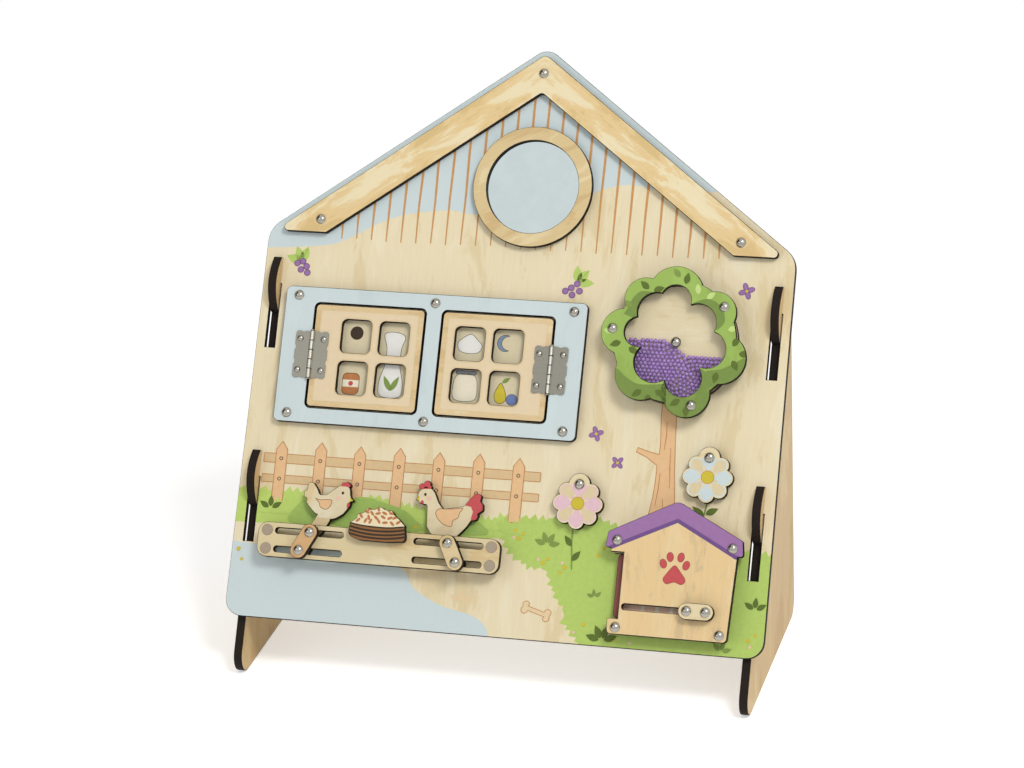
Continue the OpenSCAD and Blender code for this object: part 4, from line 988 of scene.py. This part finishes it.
def hinge_steel(name, middle):
    """Rolled steel: a painted highlight on the barrel, painted shade in the gaps between its knuckles."""
    material = rolled_steel.copy()
    material.name = name
    tree = material.node_tree
    turned, _ = sheet_coordinates(tree, "panel")
    parts = add(tree, "ShaderNodeSeparateXYZ", {0: turned})
    aside = add(tree, "ShaderNodeMath", {0: parts.outputs["X"], 1: middle.x}, operation="SUBTRACT")
    size = add(tree, "ShaderNodeMath", {0: aside.outputs[0]}, operation="ABSOLUTE")
    painted_barrel_light = add(tree, "ShaderNodeMath", {0: size.outputs[0], 1: BARREL_R}, operation="LESS_THAN")
    count = add(tree, "ShaderNodeMapRange", {"Value": parts.outputs["Y"], "From Min": middle.y - HINGE_MM / 2,
                                             "From Max": middle.y + HINGE_MM / 2, "To Max": KNUCKLES}, clamp=False)
    from_gap = add(tree, "ShaderNodeMath", {0: count.outputs[0], 1: 0.5}, operation="PINGPONG")
    painted_gap_shade = add(tree, "ShaderNodeMath", {0: from_gap.outputs[0], 1: GAP_SHADE_MM * KNUCKLES / HINGE_MM},
               operation="LESS_THAN")
    # Painted highlight on the barrel, and painted shade in the gaps between the knuckles.
    barrel_highlight_and_gap_shade = add(tree, "ShaderNodeMix", {0: painted_gap_shade.outputs[0], 6: linear("#C4C1B7"), 7: linear("#3A352E")},
                 data_type="RGBA")
    shader = next(part for part in tree.nodes if part.type == "BSDF_PRINCIPLED")
    tone = shader.inputs["Base Color"].links[0].from_socket
    both = add(tree, "ShaderNodeMix", {0: painted_barrel_light.outputs[0], 6: tone, 7: barrel_highlight_and_gap_shade.outputs[2]}, data_type="RGBA")
    tree.links.new(both.outputs[2], shader.inputs["Base Color"])
    return material


for side_name in ("left", "right"):
    low, high = solid_places(f"{side_name}_hinge_pin")[0]
    steel = hinge_steel(f"{side_name}_hinge_steel", (low + high) / 2)
    for part in ("frame_leaf", "door_leaf"):
        dress(f"{side_name}_{part}", steel)
    print(side_name, "hinge at", [round(v, 1) for v in (low + high) / 2], "mm")


# %% [markdown]
# ## Domed heads
# Every screw and bolt has the same smooth dome. One turned profile is spun
# round its axis: a flat rim, a rounded shoulder and a low crown, on a short
# shank. A flattened ball would be quicker, but it has no flat rim to sit on. The
# washers under the daisies are turned in the same way.

# %% Spin a dome
def add_turned(bm, profile, x, u, h, steps=36):
    """Spins a profile of (radius, height) points round an axis that is square to the panel."""
    verts = [bm.verts.new((r, 0, z)) for r, z in profile]
    edges = [bm.edges.new(pair) for pair in zip(verts, verts[1:])]
    bmesh.ops.spin(bm, geom=verts + edges, cent=(0, 0, 0), axis=(0, 0, 1), angle=2 * math.pi,
                   steps=steps, use_merge=True, use_duplicate=False)
    bmesh.ops.remove_doubles(bm, verts=[v for v in bm.verts if not v.tag], dist=1e-5)
    fresh = [v for v in bm.verts if not v.tag]
    bmesh.ops.translate(bm, verts=fresh, vec=(x, u, h))
    for vert in fresh:
        vert.tag = True


CROWN_INSET, RIM_CHAMFER = 0.15, 0.1


def dome_profile(diameter, height, shank, depth, steps=9):
    """A domed head above height 0 with a rounded rim, and a shank below it."""
    r = diameter / 2
    rim = min(0.35, height * 0.2)
    # The crown is a cap of this ball: half the sum of squares over the cap's height.
    ball = ((r - CROWN_INSET) ** 2 + (height - rim) ** 2) / (2 * (height - rim))
    sweep = math.asin((r - CROWN_INSET) / ball)
    crown = [(ball * math.sin(sweep * i / steps), height - ball + ball * math.cos(sweep * i / steps))
             for i in range(steps + 1)]
    return crown + [(r, rim * 0.6), (r, 0.08), (r - RIM_CHAMFER, 0), (shank / 2, 0), (shank / 2, -depth), (0, -depth)]


print("a head's profile has", len(dome_profile(7.2, 2.3, 3, 5)), "points")

# %% Turned heads
# Head diameter, head height and shank diameter.
PANEL_SCREW, PIVOT_BOLT, HINGE_SCREW = (7.2, 2.3, 3), (7.2, 2.3, 4), (4.6, 1.6, 1.6)
HEADS = {
    "roof_trim_screws": PANEL_SCREW, "window_frame_screws": PANEL_SCREW, "kennel_screws": PANEL_SCREW,
    "wheel_bolt": PANEL_SCREW, "daisy_bolts": PIVOT_BOLT, "wheel_screws": PANEL_SCREW,
    "left_link_bolts": PIVOT_BOLT, "right_link_bolts": PIVOT_BOLT, "handle_bolts": PIVOT_BOLT,
    "left_frame_leaf_screws": HINGE_SCREW, "right_frame_leaf_screws": HINGE_SCREW,
    "left_door_leaf_screws": HINGE_SCREW, "right_door_leaf_screws": HINGE_SCREW,
}
for name, (diameter, height, shank) in HEADS.items():
    bm = bmesh.new()
    for low, high in solid_places(name):
        middle = (low + high) / 2
        profile = dome_profile(diameter, height, shank, high.z - height - low.z)
        add_turned(bm, profile, middle.x, middle.y, high.z - height)
    bmesh.ops.transform(bm, matrix=PANEL, verts=bm.verts)
    heads = mesh_piece(f"turned_{name}", bm, nickel, nodes[name]["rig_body"], smooth=True)
    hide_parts(name)
print("groups of turned heads:", len(HEADS))

# %% Turned washers under the daisies
WASHER_HOLE, WASHER_EASE, RUNNING_GAP = 4.4, 0.15, 0.05
bm = bmesh.new()
for low, high in solid_places("daisy_washers"):
    middle, r, thick = (low + high) / 2, (high.x - low.x) / 2, high.z - low.z - RUNNING_GAP
    hole = WASHER_HOLE / 2
    ring = [(hole, 0), (r - WASHER_EASE, 0), (r, WASHER_EASE), (r, thick - WASHER_EASE), (r - WASHER_EASE, thick),
            (hole, thick), (hole, 0)]
    add_turned(bm, ring, middle.x, middle.y, low.z)
    print("washer", round(2 * r, 2), "mm across,", round(thick, 2), "mm thick")
bmesh.ops.transform(bm, matrix=PANEL, verts=bm.verts)
washers = mesh_piece("turned_daisy_washers", bm, nickel, nodes["daisy_washers"]["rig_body"])
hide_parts("daisy_washers")

# %% [markdown]
# ## Loose beads
# The beads lie in one close layer, as beads do that have slid down behind a
# window: nearly in rows, but never quite. They start in rows, are pushed a
# little at random, and then push each other apart until hardly any touch. The
# construction's beads give their size and depth. A physics simulation would end
# in much the same heap, and would take far longer.

# %% Pack the beads
bead_boxes = solid_places("beads")
bead_r = (bead_boxes[0][1].z - bead_boxes[0][0].z) / 2
bead_h = (bead_boxes[0][1].z + bead_boxes[0][0].z) / 2
GAP, REACH, HUB = bead_r * 1.97, 38.05, 4.1
JITTER, DEPTH_PLAY, ROUNDS = 1.5, 0.36, 90
TOP_LEFT, TOP_RIGHT, SLOPE_FROM, SLOPE_TO = 0.6, -9.4, -8, 7


def heap_top(x):
    """The heap's top line over the wheel's axis, higher at the left."""
    if x < SLOPE_FROM:
        return TOP_LEFT
    if x > SLOPE_TO:
        return TOP_RIGHT
    return TOP_LEFT - (TOP_LEFT - TOP_RIGHT) * (x - SLOPE_FROM) / (SLOPE_TO - SLOPE_FROM)


def settle(p):
    """Keeps a bead inside the chamber, off the sleeve and under the heap's top."""
    if p.y > heap_top(p.x):
        p.y = heap_top(p.x)
    if p.length > REACH:
        p *= REACH / p.length
    if p.length < HUB:
        p *= HUB / max(p.length, 0.01)


rng = random.Random(12)
beads = []
rows = int(REACH / (GAP * 0.866)) + 2
for j in range(-rows, 2):
    for i in range(-rows, rows + 1):
        p = Vector(((i + (0.5 if j % 2 else 0)) * GAP * 1.004, j * GAP * 0.87))
        if HUB < p.length < REACH and p.y < heap_top(p.x) + 0.4:
            beads.append(p + Vector((rng.uniform(-JITTER, JITTER), rng.uniform(-JITTER, JITTER))))
for _ in range(ROUNDS):
    beads.sort(key=lambda p: p.x)
    for i, p in enumerate(beads):
        for q in beads[i + 1:]:
            if q.x - p.x > GAP:
                break
            apart = q - p
            if apart.length < GAP:
                push = apart.normalized() * (GAP - apart.length) * 0.5 if apart.length > 1e-6 else Vector((0.1, 0))
                p -= push
                q += push
        settle(p)
closest = min((q - p).length for i, p in enumerate(beads) for q in beads[i + 1:i + 40])
print("beads:", len(beads), "closest", round(closest, 2), "mm, against", len(bead_boxes), "in the construction")

bm = bmesh.new()
for p in beads:
    middle = Vector((WHEEL.x + p.x, WHEEL.y + p.y, bead_h + rng.uniform(-DEPTH_PLAY, DEPTH_PLAY)))
    bmesh.ops.create_icosphere(bm, subdivisions=2, radius=bead_r * rng.uniform(0.98, 1.0),
                               matrix=Matrix.Translation(middle))
bmesh.ops.transform(bm, matrix=PANEL, verts=bm.verts)
bead_piece = mesh_piece("bead_heap", bm, bead_material, "bead_fill", smooth=True)
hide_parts("beads")

# %% [markdown]
# ## Prints on the raised pieces
# The same films go on the faces of the raised pieces, each riding with its
# piece: panels on the shutters, leaves on the crown, petals, feathers and the
# kennel's roof. A film that rides with its piece turns and slides with it, which
# a picture projected on the whole board would not.

# %% Shutter fields
PANE_W, PANE_U, PANE_R, PANE_RIM = 21.9, 23.9, 4.0, 1.3
FIELD_INSET = 4
PANE_ROWS = (160.5, 190.3)
PANE_COLS = {"left_door": (-127.4, -99.6), "right_door": (-44.6, -16.8)}
for name, cols in PANE_COLS.items():
    x0, u0, x1, u1 = faces_of[name][2]
    field = rounded_box(x0 + FIELD_INSET, u0 + FIELD_INSET, x1 - FIELD_INSET, u1 - FIELD_INSET, 1.5)
    printed(f"print_{name}_field", [field], "door", on=name, trim=True)
    printed(f"print_{name}_field_rim", [field], "tan", layer=2, on=name, trim=True, line=0.5)
    frames = [rounded_box(x - PANE_RIM, u - PANE_RIM, x + PANE_W + PANE_RIM, u + PANE_U + PANE_RIM, PANE_R + PANE_RIM)
              for x in cols for u in PANE_ROWS]
    printed(f"print_{name}_pane_rims", frames, "sand", layer=3, on=name, trim=True, line=0.6)

# %% [markdown]
# ## Pictures behind the panes
# The panes are open holes, and the pictures are printed on the panel behind
# them, so an opened shutter uncovers them. They are a plain still life: a ball
# of wool, a jar, a jug, a pot and fruit, with a cloud and a crescent moon. One
# function prints each shape and the thin dark line round it.

# %% Pictures behind the panes
# A darker cream field over each opening is painted shade for the recess behind the shutters.
pane_shade_fields = [[(x0, 148), (x1, 148), (x1, 227), (x0, 227)] for x0, x1 in ((-150, -66), (-57, 28))]
printed("print_pane_shade", pane_shade_fields, "pane", layer=1)


def object_print(name, shapes, colour, layer=2):
    """A filled shape with a thin dark line round it."""
    printed(f"print_{name}", shapes, colour, layer=layer)
    printed(f"print_{name}_rim", shapes, "dark_brown", layer=layer + 1, line=0.35)


object_print("wool", [ring_points(-117.5, 205.5, 4.8, 4.8)], "dark_brown")
object_print("jar", [rounded_box(-124.5, 161.5, -112, 177, 3.4)], "husk")
printed("print_jar_band", [rounded_box(-124.1, 167, -112.4, 172, 0.4)], "pale_cream", layer=4)
printed("print_jar_dot", [ring_points(-118.2, 169.5, 1.7, 1.7, 0, 14)], "red", layer=5)
jug = smooth_loop([(-96, 162), (-82, 162), (-80.5, 172), (-83.5, 184), (-83.5, 196), (-81.5, 205), (-89, 208),
                   (-97, 206), (-94.5, 196), (-95, 184), (-98, 172)], 4)
object_print("jug", [jug], "white")
printed("print_jug_leaves", [leaf(-89, 166, 62, 12, 4), leaf(-89, 166, 118, 12, 4)], "leaf_mid", layer=4)
pot = smooth_loop([(-42, 163), (-28, 163), (-26, 172), (-29, 181), (-41, 181), (-44, 172)], 4)
object_print("pot", [pot], "pale_cream")
object_print("pot_lid", [rounded_box(-42.5, 181, -27.5, 184, 1.2)], "grey")
cloud = smooth_loop([(-42, 198), (-36, 196), (-28, 197), (-25.5, 202), (-29, 206), (-34, 210), (-40, 207),
                     (-43.5, 203)], 4)
object_print("cloud", [cloud], "white")
moon = ring_points(-9, 205, 6.0, 6.0, 0, 20, 60, 240) + ring_points(-6.2, 205, 5.4, 4.9, 0, 16, 265, -170)
object_print("moon", [moon], "slate")
pear = smooth_loop([(-9, 162), (-4.8, 165), (-5.4, 170), (-7.4, 174.5), (-9.4, 177), (-11.6, 174), (-13.4, 169.6),
                    (-13, 164.6)], 4)
object_print("pear", [pear], "yellow")
object_print("plum", [ring_points(-0.6, 165.6, 4.2, 4.0)], "plum")
printed("print_fruit_leaf", [leaf(-8.6, 177, 35, 7, 3)], "leaf_mid", layer=4)

# %% [markdown]
# ## The crown
# The green ring is the tree's leaves: darker shade in its lower lobes and round
# the window, and small leaves here and there, on the ring that turns. The shade
# has the hard edge of a print, which a gradient in the material would lack.

# %% Crown shade and leaves
shade_fields = [
    smooth_line([(60, 196), (73.9, 191.4), (82.2, 185), (90.3, 181.1), (100.5, 181.1), (110.6, 182.4)], 4)
    + [(112, 160), (60, 160)],
    smooth_line([(178, 208), (164.4, 204.2), (156, 199.2), (147.6, 194.9), (137.6, 193)], 4)
    + [(137, 180), (150, 172), (178, 180)],
    ring_points(126, 177, 19, 19),
    smooth_line([(76, 229), (77.6, 231.7), (81.8, 240.9), (87.8, 245.7), (100.1, 244.5)], 4) + [(98, 236), (84, 226)],
    smooth_line([(124.2, 239.6), (132.8, 242.7), (140.7, 240.6), (145.7, 234.6), (147, 227.1), (142.5, 221.7)], 4)
    + [(138, 222), (124, 236)],
]
for i, field in enumerate(shade_fields):
    printed(f"print_crown_shade_{i + 1}", [field], "crown_shade", layer=1 + i % 2, on="wheel_ring", trim=True)
# Small leaves in three greens, each given by its stalk end and its direction.
dark_places = ((117.5, 252.2, 80), (92.1, 247.3, 140), (95.4, 246.2, 20), (75.9, 209.3, 200), (81.8, 205.9, -30),
               (93.7, 176.8, 215), (98.4, 174.3, 275), (103.1, 177.1, -25), (144.9, 192.6, -100), (154.3, 211.1, 60),
               (158.9, 206.1, 0), (154.9, 201.3, -60), (126, 168, -90), (121, 172, 215))
mid_places = ((113.2, 256.8, 130), (81.4, 234.5, 150), (138.9, 179.2, 20), (132, 175, 200))
pale_places = ((127.1, 245.8, 100), (133.2, 243, 40), (70, 216, 170), (150, 222, 20))
for name, colour, length, width, places in (
        ("leaves", "leaf", 8.2, 4.6, dark_places), ("mid", "leaf_mid", 7.8, 4.2, mid_places),
        ("pale", "pale_green", 7.4, 4.0, pale_places)):
    crown_leaves = [leaf(x, u, angle, length, width) for x, u, angle in places]
    printed(f"print_crown_{name}", crown_leaves, colour, layer=3, on="wheel_ring", trim=True)


# %% [markdown]
# ## Daisies
# Each daisy has eight petals round a yellow heart: four tinted ones, laid over
# four tan ones that keep a tinted rim. One petal is drawn and turned. An Array
# modifier could turn it too, but the prints are trimmed to the sheet, and that is
# simpler on plain outlines.

# %% Daisy petals
def petal(x, u, angle, inner, outer, width):
    c, s = math.cos(math.radians(angle)), math.sin(math.radians(angle))
    right = [(inner, 0)]
    for i in range(1, 12):
        k = i / 12
        right.append((inner + (outer - inner) * k, -width / 2 * math.sin(math.pi * k ** 1.5) ** 0.7))
    left = [(px, -pu) for px, pu in right[:0:-1]]
    return [(x + px * c - pu * s, u + px * s + pu * c) for px, pu in right + [(outer, 0)] + left]


HEART_R = 4.6
DAISIES = {"left_daisy": ((55.1, 96.2), "pink"), "right_daisy": ((144.0, 120.9), "sky")}
for name, ((x, u), tint) in DAISIES.items():
    x0, u0, x1, u1 = faces_of[name][2]
    reach = (x1 - x0) / 2 - 1.0
    petals = [petal(x, u, 90 + 45 * i, 3.6, reach, 9.4) for i in range(8)]
    hearts = [petal(x, u, 135 + 90 * i, 4.4, reach - 0.8, 7.8) for i in range(4)]
    printed(f"print_{name}_slant", petals[1::2], tint, layer=1, on=name, trim=True)
    printed(f"print_{name}_tan", hearts, "tan", layer=2, on=name, trim=True)
    printed(f"print_{name}_tint", petals[0::2], tint, layer=3, on=name, trim=True)
    printed(f"print_{name}_heart", [ring_points(x, u, HEART_R, HEART_R)], "yellow", layer=4, on=name)
    printed(f"print_{name}_heart_rim", [ring_points(x, u, HEART_R, HEART_R)], "edge", layer=5, on=name, line=0.4)

# %% [markdown]
# ## Kennel
# The kennel's wall is one sheet, so its roof is a print with a dark line along
# the eaves and not a piece of its own. Below the roof are plank lines and a paw
# mark. The tile behind carries a striped cushion, which shows through the slot
# and when the tile slides out.

# %% Kennel roof and paw
roof = [(84.2, 69.3), (127.8, 90), (169.9, 67.6), (174.9, 66.4), (180, 66), (180, 90), (126.8, 112), (74, 90),
        (74, 67), (82.2, 67.6)]
printed("print_roof", [roof], "purple", layer=1, on="kennel_front", trim=True)
printed("print_roof_line", [strip([(82.0, 67.2), (84.6, 68.4), (106, 78.7), (127.8, 89.1)], 2.7, 1),
                            strip([(127.2, 89.2), (149, 77.9), (169.6, 67.0), (174.8, 65.8)], 2.7, 1)],
        "dark_purple", layer=2, on="kennel_front", trim=True)
planks = [strip([(x, 24 if x > 98 else 12), (x + 0.3, 40), (x, 64 + min(abs(x - 84), abs(170 - x)) * 0.45)], 0.5)
          for x in (92.5, 104.6, 116.2, 139.4, 151.2, 162.8)]
printed("print_kennel_planks", planks, "sand", layer=1, on="kennel_front", trim=True)
pad = smooth_loop([(128.3, 58.4), (133.2, 53.6), (136.6, 48.6), (134, 45.4), (128.8, 46.8), (123.6, 45.2),
                   (120.8, 48.4), (123.8, 53.6)], 5)
toes = [ring_points(x, u, 2.5, 3.4, t, 18) for x, u, t in
        ((120.2, 59.0, 18), (124.6, 63.9, 8), (132.1, 64.1, -8), (136.2, 58.8, -18))]
printed("print_paw", [pad] + toes, "red", layer=2, on="kennel_front")
printed("print_paw_rims", [pad] + toes, "maroon", layer=3, on="kennel_front", line=0.35)

# %% A striped cushion on the tile
cushion = smooth_loop([(98, 19), (146, 19), (152, 30), (150, 48), (138, 57), (112, 57), (97, 48), (94, 30)], 5)
printed("print_cushion", [cushion], "blush", layer=1, on="kennel_tile")
stripes = [strip(smooth_line([(x, 21), (x + 1.5, 38), (x, 55)], 3), 2.4) for x in (107, 117, 127, 137, 146)]
printed("print_cushion_stripes", stripes, "pale_cream", layer=2, on="kennel_tile")
printed("print_cushion_rim", [cushion], "edge", layer=3, on="kennel_tile", line=0.6)

# %% [markdown]
# ## Hens and feed bowl
# The hens are plain barnyard hens: a folded wing, a red comb and wattle, an eye
# and a beak, each a flat shape trimmed to the bird's outline. They are drawn
# about the hen's pin, so that a hen's prints can be moved all at once.

# %% Hens
LEFT_PIN, RIGHT_PIN = Vector((-131.35, 60.95)), Vector((-31.45, 60.95))


def shifted(outlines, pin):
    """Outlines drawn about a pin, moved to where the pin is."""
    return [[(x + pin.x, u + pin.y) for x, u in outline] for outline in outlines]


left_wing = smooth_loop([(-1.7, 25.3), (1.7, 24.5), (9.7, 25), (10.7, 22.6), (8.9, 19), (6.1, 17.7), (2.3, 19.2),
                         (1.3, 21.9)], 5)
left_tail = [(-12, 40), (-12, 18), (-6.6, 19.6), (-4.6, 24), (-3.4, 29), (-1.4, 40)]
left_leg = [(-10, -4), (22, -4), (22, 11.4), (9, 11.6), (-3, 12.4), (-10, 12)]
left_comb = [(14.0, 39.5), (14.4, 35.4), (16.5, 34.9), (19.5, 34.9), (22.8, 34), (26, 33.2), (26, 40)]
right_wing = smooth_loop([(-13.5, 22.6), (-10.8, 24.6), (-3, 25), (5.6, 26.1), (3.8, 22.5), (2.8, 18.9), (-0.6, 16.6),
                          (-0.9, 13.1), (-3.7, 12.5), (-9, 14.6), (-13.1, 19.2)], 5)
right_tail = [(6.9, 28), (9, 40), (24, 40), (24, 16), (12.1, 16), (12.1, 19.6), (13, 23.9), (11.2, 27.3)]
right_leg = [(-20, -4), (14, -4), (8, 6.5), (-6, 5.4), (-20, 6)]
right_comb = [(-29, 36.2), (-26.6, 36.4), (-22.6, 37.6), (-18.4, 37.7), (-16, 38), (-16, 46), (-29, 46)]
# Pin, wing, tail, leg, comb, eye, cheek, beak, wattle and the tail's ink.
HENS = {
    "left_hen": (LEFT_PIN, left_wing, left_tail, left_leg, left_comb, (17.9, 30.2), (15.1, 26.5),
                 [(23.2, 23.4), (28, 23), (28, 27.6), (23.6, 27.4)], (22.9, 21.7), "sand"),
    "right_hen": (RIGHT_PIN, right_wing, right_tail, right_leg, right_comb, (-22.3, 33.6), (-19.4, 31),
                  [(-26.2, 27.6), (-31, 27), (-31, 33.6), (-26.4, 32)], (-24.1, 27.2), "red"),
}
for name, (pin, wing, tail, leg, comb, eye_at, cheek, beak, wattle, tail_ink) in HENS.items():
    red_parts = shifted([comb, ring_points(*wattle, 1.3, 2.3, 0, 16)], pin)
    eye_spot = shifted([ring_points(*eye_at, 0.9, 1.1, 0, 14)], pin)
    printed(f"print_{name}_tail", shifted([tail], pin), tail_ink, 1, name, trim=True)
    printed(f"print_{name}_leg", shifted([leg], pin), "sand", 1, name, trim=True)
    printed(f"print_{name}_comb", red_parts, "red", 2, name, trim=True)
    printed(f"print_{name}_beak", shifted([beak], pin), "yellow", 1, name, trim=True)
    printed(f"print_{name}_wing", shifted([wing], pin), "fence", 1, name, trim=True)
    printed(f"print_{name}_wing_rim", shifted([wing], pin), "brown", 2, name, trim=True, line=0.4)
    printed(f"print_{name}_cheek", shifted([ring_points(*cheek, 2.1, 1.7, 0, 16)], pin), "blush", 1, name, trim=True)
    printed(f"print_{name}_eye", eye_spot, "dark_brown", 2, name, trim=True)

# %% Feed bowl
BOWL = Vector((-82.45, 58.7))
rim = [(-20.3, 11.2), (-12.9, 10), (-5.6, 9.5), (1.7, 9.3), (8.9, 9.5), (19.2, 11)]
heap = [(-24, 11.6)] + smooth_line(rim, 4) + [(24, 11.6), (24, 30), (-24, 30)]
printed("print_heap", shifted([heap], BOWL), "cream", layer=1, on="feed_bowl", trim=True)
rng = random.Random(5)
husks = []
for row, count in ((13.2, 7), (16.2, 6), (19.2, 5), (21.6, 3)):
    for i in range(count):
        spread = 17.5 - (row - 13) * 0.9
        x = -spread + 2 * spread * (i + 0.5) / count + rng.uniform(-0.8, 0.8)
        husks.append(ring_points(x, row + rng.uniform(-0.6, 0.6), 2.1, 0.95, rng.uniform(-70, 70), 12))
printed("print_husks", shifted(husks, BOWL), "husk", layer=2, on="feed_bowl", trim=True)
staves = [strip(smooth_line([(-21, 11.4 - d), (-11, 9.6 - d), (0, 9.0 - d), (11, 9.6 - d), (21, 11.4 - d)], 4), 1.4, 1)
          for d in (2.4, 5.0, 7.4)]
printed("print_bowl_stripes", shifted(staves, BOWL), "dark_brown", layer=1, on="feed_bowl", trim=True)
rim_line = shifted([strip(smooth_line(rim, 4), 1.0)], BOWL)
printed("print_bowl_rim", rim_line, "dark_brown", layer=2, on="feed_bowl", trim=True)

# %% [markdown]
# ## Finish
# The slabs that the prints were trimmed to are freed.

# %% Free the face slabs
for slab, *_ in faces_of.values():
    slab.free()
